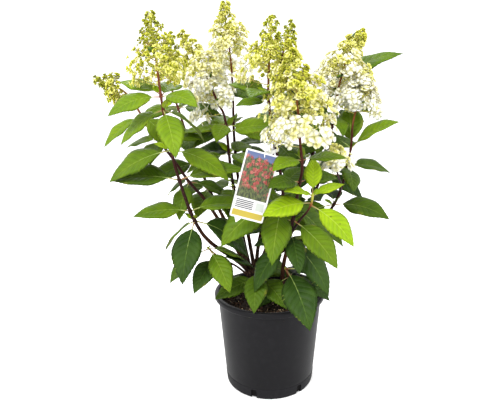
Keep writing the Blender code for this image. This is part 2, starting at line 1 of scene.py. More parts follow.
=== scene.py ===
"""Looks of a panicle hydrangea in its nursery pot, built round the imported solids.

Metres, +Z up, the underside of the pot on z = 0 and the front towards -Y, as in the solids.
After the studio, the sections follow the plant as a grower puts it together: pot, compost,
woody crown and canes, plant label, panicles, and leaves.
"""
import math
from collections import namedtuple

import bpy
import numpy as np
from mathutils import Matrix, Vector
from mathutils.kdtree import KDTree


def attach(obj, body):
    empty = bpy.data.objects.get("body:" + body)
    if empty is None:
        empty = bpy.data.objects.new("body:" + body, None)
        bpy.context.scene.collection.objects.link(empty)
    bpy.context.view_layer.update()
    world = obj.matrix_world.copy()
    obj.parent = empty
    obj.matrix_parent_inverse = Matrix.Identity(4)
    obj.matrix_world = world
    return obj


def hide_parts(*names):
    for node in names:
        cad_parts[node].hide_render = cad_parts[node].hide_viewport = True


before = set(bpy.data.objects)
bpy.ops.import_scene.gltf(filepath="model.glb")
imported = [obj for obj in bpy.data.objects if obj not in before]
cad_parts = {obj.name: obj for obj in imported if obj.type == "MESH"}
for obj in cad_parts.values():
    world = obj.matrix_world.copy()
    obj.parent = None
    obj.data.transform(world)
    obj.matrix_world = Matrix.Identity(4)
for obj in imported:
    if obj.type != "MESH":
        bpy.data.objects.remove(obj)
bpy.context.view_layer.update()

MM = 0.001

# Studio: a white sweep of floor under wide soft daylight, with a stronger light high at the front.
# The camera stands a little above the plant's middle and looks down on it at about thirteen degrees.
scene = bpy.context.scene
scene.view_settings.view_transform = "Standard"
lens = bpy.data.cameras.new("camera")
lens.sensor_width = 36
lens.lens = 33.34
lens.shift_x = -0.0392
camera = bpy.data.objects.new("camera", lens)
camera.location = (0, -0.911, 0.597)
camera.rotation_euler = (math.radians(90 - 12.75), 0, 0)
scene.collection.objects.link(camera)
scene.camera = camera


def soft_light(name, place, target, size, watts):
    """A square lamp of the given width that shines from its place towards a target."""
    data = bpy.data.lights.new(name, "AREA")
    data.size = size
    data.energy = watts
    lamp = bpy.data.objects.new(name, data)
    lamp.location = place
    lamp.rotation_euler = (Vector(target) - Vector(place)).to_track_quat("-Z", "Y").to_euler()
    lamp.visible_camera = False
    scene.collection.objects.link(lamp)


soft_light("front_light", (-1.3, -2.4, 2.6), (0, 0, 0.45), 1.3, 120)
soft_light("right_light", (2.3, -0.9, 1.6), (0, 0, 0.45), 1.2, 40)
soft_light("back_light", (-0.7, 2.3, 2.4), (0, 0, 0.5), 1.4, 50)
world = bpy.data.worlds.new("daylight")
world.use_nodes = True
world.node_tree.nodes["Background"].inputs["Color"].default_value = (1, 1, 1, 1)
world.node_tree.nodes["Background"].inputs["Strength"].default_value = 1.5
scene.world = world


class Wire:
    """A shader socket that takes part in sums: each operator or method adds one node behind it."""

    def __init__(self, finish, socket):
        self.finish = finish
        self.socket = socket

    def math(self, operation, *values):
        return self.finish.node("Math", dict(enumerate(values)), operation=operation)

    def __add__(self, other):
        return self.math("ADD", self, other)

    def __sub__(self, other):
        return self.math("SUBTRACT", self, other)

    def __rsub__(self, other):
        return self.math("SUBTRACT", other, self)

    def __mul__(self, other):
        return self.math("MULTIPLY", self, other)

    def __truediv__(self, other):
        return self.math("DIVIDE", self, other)

    def __abs__(self):
        return self.math("ABSOLUTE", self)

    __radd__ = __add__
    __rmul__ = __mul__

    def part(self):
        """What is left of a number after its whole part."""
        return self.math("FRACT", self)

    def cosine(self):
        return self.math("COSINE", self)

    def step(self, low, high):
        """0 below low, 1 above high, and a smooth rise between."""
        return self.finish.node("MapRange", {0: self, 1: low, 2: high}, interpolation_type="SMOOTHSTEP")


class Finish:
    """A material of one Principled surface. node() adds any other node and gives back its output."""

    def __init__(self, name, colour=None, roughness=0.5, specular=0.5, lets_through=0.0):
        self.material = bpy.data.materials.new(name)
        self.material.use_nodes = True
        self.tree = self.material.node_tree
        self.surface = self.tree.nodes["Principled BSDF"]
        self.surface.inputs["Roughness"].default_value = roughness
        self.surface.inputs["Specular IOR Level"].default_value = specular
        self.veil = None
        if lets_through:
            self.veil = self.tree.nodes.new("ShaderNodeBsdfTranslucent")
            both = self.tree.nodes.new("ShaderNodeMixShader")
            both.inputs[0].default_value = lets_through
            self.tree.links.new(self.surface.outputs[0], both.inputs[1])
            self.tree.links.new(self.veil.outputs[0], both.inputs[2])
            self.tree.links.new(both.outputs[0], self.tree.nodes["Material Output"].inputs["Surface"])
        if colour is not None:
            self.paint(colour)

    def feed(self, socket, value):
        if isinstance(value, Wire):
            self.tree.links.new(value.socket, socket)
        elif isinstance(value, (tuple, list)) and len(value) == 3 and socket.type == "RGBA":
            socket.default_value = (*value, 1.0)
        else:
            socket.default_value = value

    def node(self, kind, sockets=(), out=0, stops=(), **settings):
        made = self.tree.nodes.new("ShaderNode" + kind)
        for key, value in settings.items():
            setattr(made, key, value)
        if stops:
            ramp = made.color_ramp.elements
            ramp[0].position, ramp[1].position = stops[0][0], stops[-1][0]
            for place, colour in stops[1:-1]:
                ramp.new(place)
            for element, (place, colour) in zip(ramp, stops):
                element.color = (*colour, 1.0)
        for key, value in dict(sockets).items():
            self.feed(made.inputs[key], value)
        return Wire(self, made.outputs[out])

    def blend(self, share, first, second):
        """The first colour where share is 0, the second where it is 1."""
        return self.node("Mix", {0: share, 6: first, 7: second}, out=2, data_type="RGBA")

    def scaled(self, colour, amount):
        """A colour made lighter or darker by a number."""
        return self.node("VectorMath", {0: colour, "Scale": amount}, operation="SCALE")

    def mottle(self, size, detail=3.0, spread=0.5, stretch=(1, 1, 1), where="Object"):
        """Noise from 0 to 1 in patches about size across, on the piece's own coordinates."""
        placed = self.node("TexCoord", out=("Generated", "Normal", "UV", "Object").index(where))
        placed = self.node("Mapping", {"Vector": placed, "Scale": stretch})
        return self.node("TexNoise", {"Vector": placed, "Scale": 1 / size, "Detail": detail, "Roughness": spread})

    def paint(self, colour):
        self.feed(self.surface.inputs["Base Color"], colour)
        if self.veil:
            self.feed(self.veil.inputs["Color"], colour)

    def rough(self, value):
        self.feed(self.surface.inputs["Roughness"], value)

    def relief(self, height, depth, strength=1.0):
        bump = self.node("Bump", {"Height": height, "Distance": depth, "Strength": strength})
        self.feed(self.surface.inputs["Normal"], bump)
        if self.veil:
            self.feed(self.veil.inputs["Normal"], bump)


floor_finish = Finish("studio white", (0.9, 0.9, 0.9), roughness=0.9, specular=0.1)
floor_mesh = bpy.data.meshes.new("floor")
floor_mesh.from_pydata([(-6, -6, 0), (6, -6, 0), (6, 6, 0), (-6, 6, 0)], [], [(0, 1, 2, 3)])
floor_mesh.materials.append(floor_finish.material)
floor = bpy.data.objects.new("floor", floor_mesh)
scene.collection.objects.link(floor)

# Nursery pot: black polypropylene, injection moulded in one shot, with a plain tapering wall,
# a rolled lip, a coarser band round the foot and six drain slots through the foot of the wall.
RIM_RADIUS = 0.115
BASE_RADIUS = 0.0925
POT_HEIGHT = 0.198
POT_WALL = 0.0024
POT_FLOOR = 0.003
LIP_REACH = 0.006
FOOT_BAND = 0.022
SLOT_WIDTH = 0.012
SLOT_HEIGHT = 0.020
SLOT_TURNS = np.radians(-110) + 2 * math.pi * np.arange(6) / 6

Form = namedtuple("Form", "points faces worn uv mark", defaults=(None, None, None))


def quads(rows, columns):
    """Faces between rings of points: each joins a point, the next one round, and the two above them."""
    row = np.arange(rows - 1)[:, None] * columns
    here = np.arange(columns)[None, :]
    beside = (here + 1) % columns
    return np.stack([row + here, row + beside, row + beside + columns, row + here + columns], -1).reshape(-1, 4)


def fan(ring, middle):
    """Triangles that close a ring of point numbers on a middle point."""
    return np.stack([ring, np.roll(ring, -1), np.full(len(ring), middle)], -1)


def skin(rings, uv=None, mark=None):
    """A closed skin over rings of points, each turning left round the way they run.

    The rings are an array of (rings, points, 3). A fan round the middle of the first and the last
    ring closes each end.
    """
    rows, sides = rings.shape[:2]
    points = np.concatenate([rings.reshape(-1, 3), rings[:1].mean(1), rings[-1:].mean(1)])
    around = np.arange(sides)
    faces = [quads(rows, sides), fan(around[::-1], rows * sides), fan(around + (rows - 1) * sides, rows * sides + 1)]
    if uv is not None:
        uv = np.concatenate([uv.reshape(-1, 2), uv[:1].mean(1), uv[-1:].mean(1)])
    if mark is not None:
        mark = np.concatenate([np.repeat(mark, sides), mark[[0, -1]]])
    return Form(points, faces, None, uv, mark)


def lathe(profile, sides):
    """Surface of revolution: at each angle a, a profile point of radius r and height z lies at
    (r cos a, r sin a, z)."""
    radius, height = np.array(profile, float).T
    angle = 2 * math.pi * np.arange(sides) / sides
    rings = np.stack([radius[:, None] * np.cos(angle), radius[:, None] * np.sin(angle),
                      np.broadcast_to(height[:, None], (len(radius), sides))], -1)
    return skin(rings)


def piece(name, nodes, finishes, forms, crease=None):
    """One object out of several forms, which rides with the plant and stands for the named solids.

    worn in a form numbers the finish of each of its face arrays. crease is the angle in degrees past
    which an edge stays sharp.
    """
    starts = np.cumsum([0] + [len(form.points) for form in forms])
    points = np.concatenate([form.points for form in forms])
    faces = [f + start for form, start in zip(forms, starts) for f in form.faces]
    worn = [w for form in forms for w in (form.worn or [0] * len(form.faces))]
    sizes = np.concatenate([np.full(len(f), f.shape[1]) for f in faces])
    corners = np.concatenate([f.ravel() for f in faces])
    mesh = bpy.data.meshes.new(name)
    mesh.vertices.add(len(points))
    mesh.vertices.foreach_set("co", points.astype(np.float32).ravel())
    mesh.loops.add(len(corners))
    mesh.loops.foreach_set("vertex_index", corners.astype(np.int32))
    mesh.polygons.add(len(sizes))
    mesh.polygons.foreach_set("loop_start", (np.cumsum(sizes) - sizes).astype(np.int32))
    mesh.polygons.foreach_set("material_index", np.repeat(worn, [len(f) for f in faces]).astype(np.int32))
    if all(form.uv is not None for form in forms):
        uv = np.concatenate([form.uv for form in forms])
        mesh.uv_layers.new(name="pattern").data.foreach_set("uv", uv[corners].astype(np.float32).ravel())
    if all(form.mark is not None for form in forms):
        mark = np.concatenate([form.mark for form in forms])
        mesh.attributes.new("mark", "FLOAT", "POINT").data.foreach_set("value", mark.astype(np.float32))
    for finish in finishes:
        mesh.materials.append(finish.material)
    mesh.update(calc_edges=True)
    mesh.validate()
    return dressed(name, mesh, nodes, crease)


def dressed(name, mesh, nodes, crease=None):
    """Give a finished mesh its object, its smooth shading and its ties to the solids."""
    mesh.shade_smooth()
    if crease is not None:
        mesh.set_sharp_from_angle(angle=math.radians(crease))
    made = bpy.data.objects.new(name, mesh)
    scene.collection.objects.link(made)
    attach(made, "root")
    if nodes:
        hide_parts(*nodes)
    return made


def arc(radius, height, size, start, end, count=6):
    """Points of a profile on a round corner: its middle, its size, and the angles it turns between."""
    angle = np.radians(np.linspace(start, end, count))
    return [(radius + size * math.cos(a), height + size * math.sin(a)) for a in angle]


def wall_radius(height):
    """Outer radius of the pot's tapering wall."""
    top = RIM_RADIUS - LIP_REACH
    return BASE_RADIUS + (top - BASE_RADIUS) * height / POT_HEIGHT


lip_foot = POT_HEIGHT - 0.0105
inner_top = wall_radius(POT_HEIGHT) - POT_WALL
pot_profile = [(0.004, 0.0012), (0.030, 0.0012), (0.033, 0.0), (0.060, 0.0), (0.063, 0.0010), (0.080, 0.0010), (0.083, 0.0)]
pot_profile += arc(BASE_RADIUS - 0.004, 0.004, 0.004, -90, -8)
pot_profile += [(wall_radius(z), z) for z in np.linspace(0.006, FOOT_BAND, 5)]
pot_profile += arc(wall_radius(FOOT_BAND) - 0.0006, FOOT_BAND + 0.0004, 0.0006, 0, 80, 4)
pot_profile += [(wall_radius(z) - 0.0004, z) for z in np.linspace(FOOT_BAND + 0.002, lip_foot - 0.003, 24)]
pot_profile += [(wall_radius(lip_foot) - 0.0002, lip_foot - 0.0012), (wall_radius(lip_foot) + 0.0012, lip_foot)]
pot_profile += arc(RIM_RADIUS - 0.0022, lip_foot + 0.0022, 0.0022, -80, -10)
pot_profile += arc(RIM_RADIUS - 0.0032, POT_HEIGHT - 0.0032, 0.0032, 8, 90, 7)
pot_profile += arc(inner_top + 0.0016, POT_HEIGHT - 0.0016, 0.0016, 100, 180, 5)
pot_profile += [(wall_radius(z) - POT_WALL, z) for z in np.linspace(POT_HEIGHT - 0.006, POT_FLOOR + 0.002, 12)]
pot_profile += [(wall_radius(POT_FLOOR) - POT_WALL - 0.002, POT_FLOOR), (0.004, POT_FLOOR)]


def slot_plugs():
    """The room of the drain slots: upright plates with round upper corners, laid through the wall."""
    corner = SLOT_WIDTH * 0.32
    outline = [(-SLOT_WIDTH / 2, -0.01), (SLOT_WIDTH / 2, -0.01)]
    outline += arc(SLOT_WIDTH / 2 - corner, SLOT_HEIGHT - corner, corner, 0, 90, 5)
    outline += arc(corner - SLOT_WIDTH / 2, SLOT_HEIGHT - corner, corner, 90, 180, 5)
    across, height = np.array(outline).T
    plugs = []
    for turn in SLOT_TURNS:
        out = np.array([math.cos(turn), math.sin(turn)])
        side = np.array([-out[1], out[0]])
        rings = [np.column_stack([out * (BASE_RADIUS + reach) + across[:, None] * side, height])
                 for reach in (-0.012, 0.012)]
        plugs.append(skin(np.array(rings)))
    return plugs


plastic = Finish("moulded black plastic", specular=0.085)
grain = plastic.mottle(0.0009, detail=2.0)
drift = plastic.mottle(0.05, detail=4.0, stretch=(1, 1, 0.35))
height = plastic.node("SeparateXYZ", {0: plastic.node("TexCoord", out=3)}, out=2)
foot_band = 1 - height.step(FOOT_BAND, FOOT_BAND + 0.002)
dust = plastic.mottle(0.012, detail=5.0).step(0.45, 0.75)
plastic.paint(plastic.blend(dust * 0.03 + foot_band * 0.03 + drift * 0.03, (0.0044, 0.0042, 0.0050), (0.060, 0.058, 0.066)))
plastic.rough(0.36 + drift * 0.10 + foot_band * 0.12 + grain * 0.04)
plastic.relief(grain + drift * 3.0, 0.00012, 0.5)

pot = piece("pot_shell", ["pot"], [plastic], [lathe(pot_profile, 160)])
plugs = piece("slot_plugs", [], [plastic], slot_plugs())
cut = pot.modifiers.new("slots", "BOOLEAN")
cut.operation = "DIFFERENCE"
cut.solver = "EXACT"
cut.object = plugs
shaped = bpy.data.meshes.new_from_object(pot.evaluated_get(bpy.context.evaluated_depsgraph_get()))
pot.modifiers.clear()
pot.data = shaped
shaped.shade_smooth()
shaped.set_sharp_from_angle(angle=math.radians(38))
bpy.data.objects.remove(plugs)

# Compost: peat-free potting mix of composted bark and fibre, pressed in round the roots.
# Crumbs, bark chips and a few pale grit and perlite grains lie loose on its top.
COMPOST_TOP = 0.178


def ripples(points, seed, size, waves=18):
    """Smooth relief of about -1 to 1: the mean of sine waves that cross the points in random
    directions, each with a wavelength near the given size and its own start."""
    draw = np.random.default_rng(seed)
    ways = draw.normal(size=(waves, points.shape[-1]))
    ways *= (2 * math.pi / size * draw.uniform(0.5, 1.7, waves) / np.linalg.norm(ways, axis=1))[:, None]
    return np.sin(points @ ways.T + draw.uniform(0, 2 * math.pi, waves)).sum(-1) / math.sqrt(waves)


def compost_bed():
    """A filled cup: flat under, tapering like the pot, and on top a crumbly relief that fades at the rim."""
    upper = wall_radius(COMPOST_TOP) - POT_WALL - 0.0003
    lower = wall_radius(0.0033) - POT_WALL - 0.0003
    inward = np.linspace(1, 0.03, 60)
    profile = [(0.01, 0.0033), (lower, 0.0033), (upper, COMPOST_TOP - 0.004)]
    profile += [(upper * share - 0.0004, COMPOST_TOP) for share in inward]
    bed = lathe(profile, 180)
    flat = bed.points[:, :2]
    reach = np.linalg.norm(flat, axis=1) / upper
    top = bed.points[:, 2] > COMPOST_TOP - 0.001
    relief = ripples(flat, 3, 0.045) * 1.3 + ripples(flat, 4, 0.012) * 0.8 + ripples(flat, 5, 0.005) * 0.45
    bed.points[:, 2] += np.where(top, relief * MM * np.clip((1 - reach) * 14, 0.25, 1), 0)
    return bed


def tumbled(shape, faces, places, sizes, seed):
    """Copies of one shape, each turned at random, stretched by its three sizes and set in its place."""
    draw = np.random.default_rng(seed)
    turn = draw.normal(size=(len(places), 4))
    w, x, y, z = (turn / np.linalg.norm(turn, axis=1)[:, None]).T
    spin = np.array([[1 - 2 * (y * y + z * z), 2 * (x * y - w * z), 2 * (x * z + w * y)],
                     [2 * (x * y + w * z), 1 - 2 * (x * x + z * z), 2 * (y * z - w * x)],
                     [2 * (x * z - w * y), 2 * (y * z + w * x), 1 - 2 * (x * x + y * y)]]).transpose(2, 0, 1)
    uneven = shape[None] * draw.uniform(0.72, 1.2, (len(places), len(shape), 1))
    points = np.einsum("nij,nkj->nki", spin, uneven * sizes[:, None]) + places[:, None]
    numbers = (faces[None] + len(shape) * np.arange(len(places))[:, None, None]).reshape(-1, faces.shape[1])
    return Form(points.reshape(-1, 3), [numbers])


def scattered(count, seed, inner=0.0, outer=0.103, lift=0.0008):
    """Places strewn evenly over the compost, and a little above it."""
    draw = np.random.default_rng(seed)
    reach = np.sqrt(draw.uniform(inner ** 2, outer ** 2, count))
    turn = draw.uniform(0, 2 * math.pi, count)
    return np.column_stack([reach * np.cos(turn), reach * np.sin(turn), COMPOST_TOP + lift + draw.normal(0, 0.0007, count)])


golden = (1 + math.sqrt(5)) / 2
nugget = np.array([(0, s, t * golden) for s in (-1, 1) for t in (-1, 1)])
nugget = np.concatenate([nugget, nugget[:, [1, 2, 0]], nugget[:, [2, 0, 1]]]) / math.hypot(1, golden)
gaps = np.linalg.norm(nugget[:, None] - nugget[None], axis=2)
near = (gaps > 0) & (gaps < 1.06)
nugget_faces = np.array([(a, b, c) for a in range(12) for b in range(a + 1, 12) for c in range(b + 1, 12)
                         if near[a, b] and near[b, c] and near[a, c]])
middles = nugget[nugget_faces].mean(1)
normals = np.cross(nugget[nugget_faces[:, 1]] - nugget[nugget_faces[:, 0]], nugget[nugget_faces[:, 2]] - nugget[nugget_faces[:, 0]])
inside_out = (normals * middles).sum(1) < 0
nugget_faces[inside_out] = nugget_faces[inside_out][:, ::-1]

draw = np.random.default_rng(11)
crumbs = tumbled(nugget, nugget_faces, scattered(1500, 12), draw.uniform(0.0010, 0.0030, (1500, 3)), 13)
chips = tumbled(nugget, nugget_faces, scattered(260, 14, lift=0.0016),
                np.column_stack([draw.uniform(0.003, 0.008, 260), draw.uniform(0.0015, 0.0032, 260),
                                 draw.uniform(0.0006, 0.0012, 260)]), 15)
front = scattered(900, 16, inner=0.045, outer=0.104, lift=0.0018)
front = front[(front[:, 1] < -0.055) & (np.abs(front[:, 0] - 0.006) < 0.055)][:110]
grit = tumbled(nugget, nugget_faces, np.concatenate([front, scattered(60, 17, lift=0.0018)]),
               draw.uniform(0.0007, 0.0021, (len(front) + 60, 3)), 18)

peat = Finish("peat", roughness=0.95, specular=0.15)
# Below 10 cm the peat is painted darker, down to near black under 3 cm: painted shade inside the pot, where the compost
# shows through the drain slots.
clear_of_slot_shade = peat.node("SeparateXYZ", {0: peat.node("TexCoord", out=3)}, out=2).step(0.03, 0.10)
peat.paint(peat.scaled(peat.blend(peat.mottle(0.004, detail=6.0).step(0.35, 0.7), (0.008, 0.0055, 0.004), (0.034, 0.021, 0.012)),
                       clear_of_slot_shade * 0.95 + 0.05))
peat.relief(peat.mottle(0.0016, detail=5.0), 0.0012)
chip = Finish("bark chip", roughness=0.85, specular=0.2)
chip.paint(chip.blend(chip.mottle(0.006, detail=4.0), (0.018, 0.010, 0.007), (0.085, 0.042, 0.022)))
chip.relief(chip.mottle(0.0012, stretch=(1, 0.3, 1)), 0.0004)
pale = Finish("pale grit", roughness=0.8, specular=0.3)
pale.paint(pale.blend(pale.mottle(0.008), (0.13, 0.08, 0.04), (0.36, 0.27, 0.16)))
piece("compost_bed", ["compost"], [peat], [compost_bed()])
piece("compost_bits", [], [peat, chip, pale],
      [crumbs, chips._replace(worn=[1]), grit._replace(worn=[2])], crease=20)

# Woody crown and canes: last year's wood springs from a short knuckled crown in the compost, and
# this year's shoots carry on from it. Dark red-brown bark with pale pores, ringed where leaves grew.
CANE_FOOT_RADIUS = 4.4 * MM
SLIM_FOOT_RADIUS = 2.6 * MM
CANE_TIP_RADIUS = 1.5 * MM
TRUNK_ROUTE = [(-28, 4, 178), (-32, 5, 215), (-34, 8, 244)]
ARM_TOP = 0.272

Whorl = namedtuple("Whorl", "height heading length rise count", defaults=(3,))
Bloom = namedtuple("Bloom", "foot reach sprays ripeness")
Shoot = namedtuple("Shoot", "route leafy whorls bloom side_of rooted slim", defaults=((), None, "", False, False))

# A shoot's route and heights are in mm. Its leafy run starts at the second entry. A whorl is a
# height, the heading of its first leaf, leaf length, rise and how many. A bloom is the height of
# the panicle's foot, its reach there, its number of sprays, and how far its florets have opened.
SHOOTS = {
    "left": Shoot(
        [(-36, 2, 225), (-62, -12, 262), (-118, -40, 316), (-144, -60, 367), (-162, -80, 437),
         (-174, -92, 500), (-183, -100, 572), (-187, -100, 610), (-199, -92, 728)], 346,
        [Whorl(363, -98, 130, -47), Whorl(384, -168, 106, -3, 2), Whorl(446, -177, 126, 0, 2),
         Whorl(502, -178, 128, -27, 2), Whorl(572, -66, 112, -42), Whorl(594, -39, 94, -10),
         Whorl(598, 156, 92, 14, 1)],
        Bloom(602, 44, 26, 0.22)),
    "far_left": Shoot(
        [(-36, 6, 225), (-70, 2, 290), (-124, -8, 386), (-158, -14, 430), (-189, -18, 479),
         (-218, -20, 520), (-238, -20, 552), (-266, -22, 598), (-296, -26, 617), (-321, -28, 625)], 404,
        [Whorl(430, 136, 92, -28), Whorl(512, 150, 92, -12), Whorl(559, -154, 92, -38)],
        Bloom(580, 24, 18, 0.28)),
    "left_inner": Shoot(
        [(-34, 14, 225), (-48, 26, 262), (-79, 50, 427), (-92, 66, 545), (-107, 70, 581),
         (-134, 72, 643), (-155, 72, 681), (-178, 72, 718)], 386,
        [Whorl(408, -108, 122, -26), Whorl(478, -49, 104, -16), Whorl(520, -20, 110, 8),
         Whorl(536, -116, 92, -24)],
        Bloom(548, 58, 26, 0.84)),
    "left_rear": Shoot(
        [(-40, 12, 225), (-60, 28, 270), (-124, 62, 388), (-158, 90, 460), (-174, 104, 491),
         (-196, 122, 555), (-217, 132, 629), (-212, 134, 724)], 372,
        [Whorl(400, 150, 104, -14), Whorl(452, 90, 104, -10), Whorl(512, 44, 104, -10),
         Whorl(570, 104, 96, -8)],
        Bloom(606, 35, 20, 0.22)),
    "centre_rear": Shoot(
        [(-30, 14, 225), (-40, 40, 270), (-69, 90, 420), (-79, 120, 518), (-81, 140, 604),
         (-86, 150, 678), (-95, 152, 745), (-96, 152, 789)], 388,
        [Whorl(412, 96, 108, -14), Whorl(470, 36, 108, -10), Whorl(536, 96, 106, -6),
         Whorl(606, -60, 92, -14)],
        Bloom(626, 58, 27, 0.72)),
    "centre": Shoot(
        [(-26, 4, 225), (-8, -14, 280), (22, -46, 380), (24, -60, 430), (15, -72, 482),
         (7, -80, 537), (0, -82, 573), (-2, -82, 622), (3, -82, 725)], 366,
        [Whorl(394, -102, 134, -42), Whorl(402, -176, 150, -38, 1), Whorl(426, 52, 84, 20),
         Whorl(584, -156, 64, -5, 1), Whorl(597, 150, 90, 12)],
        Bloom(602, 44, 21, 0.30)),
    "centre_fork": Shoot(
        [(9, -78, 528), (14, -56, 560), (17, -28, 600), (21, -2, 650), (28, 8, 686), (42, 12, 729)], 528,
        [Whorl(588, 30, 86, -6)],
        Bloom(632, 30, 17, 0.30), side_of="centre", slim=True),
    "front": Shoot(
        [(22, -31, 178), (27, -42, 262), (38, -68, 332), (44, -88, 380), (51, -110, 437),
         (56, -121, 475), (51, -130, 524), (46, -132, 580), (34, -132, 664)], 308,
        [Whorl(328, -36, 130, -46), Whorl(346, -80, 94, -38), Whorl(372, -36, 122, -38, 2),
         Whorl(448, 30, 86, 0, 2), Whorl(488, -10, 78, 4)],
        Bloom(500, 68, 37, 0.62), rooted=True),
    "front_side": Shoot(
        [(40, -72, 342), (54, -92, 372), (68, -110, 396), (74, -119, 414), (75, -121, 430)], 342,
        [Whorl(408, -34, 106, -36, 1), Whorl(412, -154, 98, -8, 1), Whorl(420, -104, 72, -32, 1),
         Whorl(424, 20, 66, 16, 2), Whorl(428, 84, 72, 58, 1)], side_of="front", slim=True),
    "right": Shoot(
        [(-22, 8, 225), (0, 14, 262), (60, 22, 292), (98, 30, 323), (126, 40, 356), (150, 50, 400),
         (169, 58, 481), (173, 60, 543), (184, 60, 590), (196, 60, 642)], 308,
        [Whorl(328, -78, 78, -14), Whorl(371, -30, 124, -8), Whorl(450, 12, 104, -10),
         Whorl(488, -34, 118, 30)],
        Bloom(548, 44, 19, 1.05)),
    "right_side": Shoot(
        [(150, 50, 402), (146, 20, 420), (137, -8, 438), (129, -34, 458), (124, -50, 500)], 402,
        [], Bloom(440, 34, 14, 1.0), side_of="right", slim=True),
    "right_rear": Shoot(
        [(-22, 16, 225), (10, 36, 270), (77, 70, 341), (111, 90, 420), (126, 100, 479),
         (133, 100, 514), (145, 100, 604), (157, 100, 656), (168, 100, 688), (195, 100, 722)], 356,
        [Whorl(378, -57, 98, -22), Whorl(426, 68, 104, -14), Whorl(480, -80, 92, -10),
         Whorl(550, 26, 100, -8)],
        Bloom(570, 64, 30, 0.78)),
    "right_tall": Shoot(
        [(-24, 20, 225), (-4, 46, 280), (46, 90, 360), (90, 122, 450), (118, 146, 530),
         (138, 158, 600), (156, 164, 650), (170, 166, 694)], 380,
        [Whorl(402, 150, 104, -12), Whorl(462, 96, 104, -10), Whorl(524, 150, 100, -8),
         Whorl(590, 88, 96, -4), Whorl(620, -7, 165, 24, 1), Whorl(664, -24, 90, 48, 1),
         Whorl(676, 30, 84, 52, 1)]),
    "rear": Shoot(
        [(-30, 22, 225), (-24, 56, 280), (-4, 104, 370), (8, 140, 460), (14, 160, 540), (16, 168, 610)], 352,
        [Whorl(374, 60, 108, -18), Whorl(430, 120, 108, -14), Whorl(490, 60, 104, -10),
         Whorl(548, 120, 100, -4), Whorl(594, 70, 90, 10)]),
    "low_left": Shoot(
        [(-38, -4, 225), (-66, -34, 262), (-96, -56, 288), (-120, -68, 314)], 258,
        [Whorl(290, -118, 96, -28, 2), Whorl(310, -54, 100, -40)], slim=True),
    "low_front": Shoot(
        [(-18, -30, 178), (-20, -36, 230), (-24, -44, 262)], 178,
        [Whorl(238, -50, 92, -24), Whorl(259, -94, 98, -26)], rooted=True, slim=True),
    "low_right": Shoot(
        [(44, -12, 178), (40, -30, 230), (30, -60, 270)], 178,
        [Whorl(240, -20, 96, -24), Whorl(266, -69, 140, -34)], rooted=True, slim=True),
}


def unit(vectors):
    return vectors / np.linalg.norm(vectors, axis=-1, keepdims=True)


class Route:
    """A smooth curve through its points: between two of them each coordinate is the cubic whose
    slope at either end is half the step between that end's two neighbours."""

    def __init__(self, points, per_span=8):
        knots = np.array(points, float) * MM
        knots = np.vstack([2 * knots[0] - knots[1], knots, 2 * knots[-1] - knots[-2]])
        a, b, c, d = (knots[k:len(knots) - 3 + k, None] for k in range(4))
        t = (np.arange(per_span) / per_span)[None, :, None]
        run = 0.5 * (2 * b + (c - a) * t + (2 * a - 5 * b + 4 * c - d) * t ** 2 + (3 * b - a - 3 * c + d) * t ** 3)
        self.points = np.vstack([run.reshape(-1, 3), knots[-2]])
        steps = np.linalg.norm(np.diff(self.points, axis=0), axis=1)
        self.along = np.concatenate([[0], np.cumsum(steps)])
        self.length = self.along[-1]

    def at(self, distance):
        return np.stack([np.interp(distance, self.along, axis) for axis in self.points.T], -1)

    def heading(self, distance):
        low = np.maximum(distance - 4 * MM, 0)
        high = np.minimum(distance + 4 * MM, self.length)
        return unit(self.at(high) - self.at(low))

    def to_height(self, height):
        return float(np.interp(height, self.points[:, 2], self.along))


routes = {name: Route(shoot.route) for name, shoot in SHOOTS.items()}


def stem_radius(name, distance):
    """Radius of a shoot's wood: it tapers evenly from foot to tip."""
    foot = SLIM_FOOT_RADIUS if SHOOTS[name].slim else CANE_FOOT_RADIUS
    return foot + (CANE_TIP_RADIUS - foot) * np.minimum(1.0, distance / routes[name].length)


def swelling(name, distance):
    """A shoot is thicker by up to a third at each whorl, over about 4 mm, and its scar pinches it."""
    swell = np.zeros_like(distance)
    for whorl in SHOOTS[name].whorls:
        off = distance - routes[name].to_height(whorl.height * MM)
        swell += 0.36 * np.exp(-(off / 0.0032) ** 2) - 0.10 * np.exp(-((off + 0.006) / 0.0012) ** 2)
    return swell


def limb(route, start, end, radius, sides, spacing, relief=0.0, seed=1):
    """A tapering limb: at distance s and angle a its skin lies radius(s) (1 + relief) off the route,
    where the relief is long ridges that wander round the limb."""
    distance = np.linspace(start, end, max(3, round((end - start) / spacing) + 1))
    forward = route.heading(distance)
    across = unit(np.cross(forward, (0.0, 1.0, 0.3)))
    aside = np.cross(forward, across)
    angle = 2 * math.pi * np.arange(sides) / sides
    size = np.broadcast_to(radius(distance)[:, None], (len(distance), sides))
    if relief:
        spot = np.stack([np.broadcast_to(np.cos(angle) * 0.01, size.shape), np.broadcast_to(np.sin(angle) * 0.01, size.shape),
                         np.broadcast_to(distance[:, None] * 0.22, size.shape)], -1)
        size = size * (1 + relief * ripples(spot, seed, 0.006) + 0.5 * relief * ripples(spot, seed + 1, 0.0022))
    rings = route.at(distance)[:, None] + size[..., None] * (
        np.cos(angle)[:, None] * across[:, None] + np.sin(angle)[:, None] * aside[:, None])
    uv = np.stack([np.broadcast_to(angle / (2 * math.pi) * 0.03, size.shape), np.broadcast_to(distance[:, None], size.shape)], -1)
    return skin(rings, uv, distance / route.length)


def fused(name, forms, grain_size):
    """Several closed forms melted into one skin on a fine grid, with the steps of the grid smoothed."""
    lump = piece(name, [], [], [Form(form.points, form.faces) for form in forms])
    remesh = lump.modifiers.new("melt", "REMESH")
    remesh.mode = "VOXEL"
    remesh.voxel_size = grain_size
    even = lump.modifiers.new("even", "SMOOTH")
    even.iterations = 4
    mesh = bpy.data.meshes.new_from_object(lump.evaluated_get(bpy.context.evaluated_depsgraph_get()))
    bpy.data.objects.remove(lump)
    return mesh


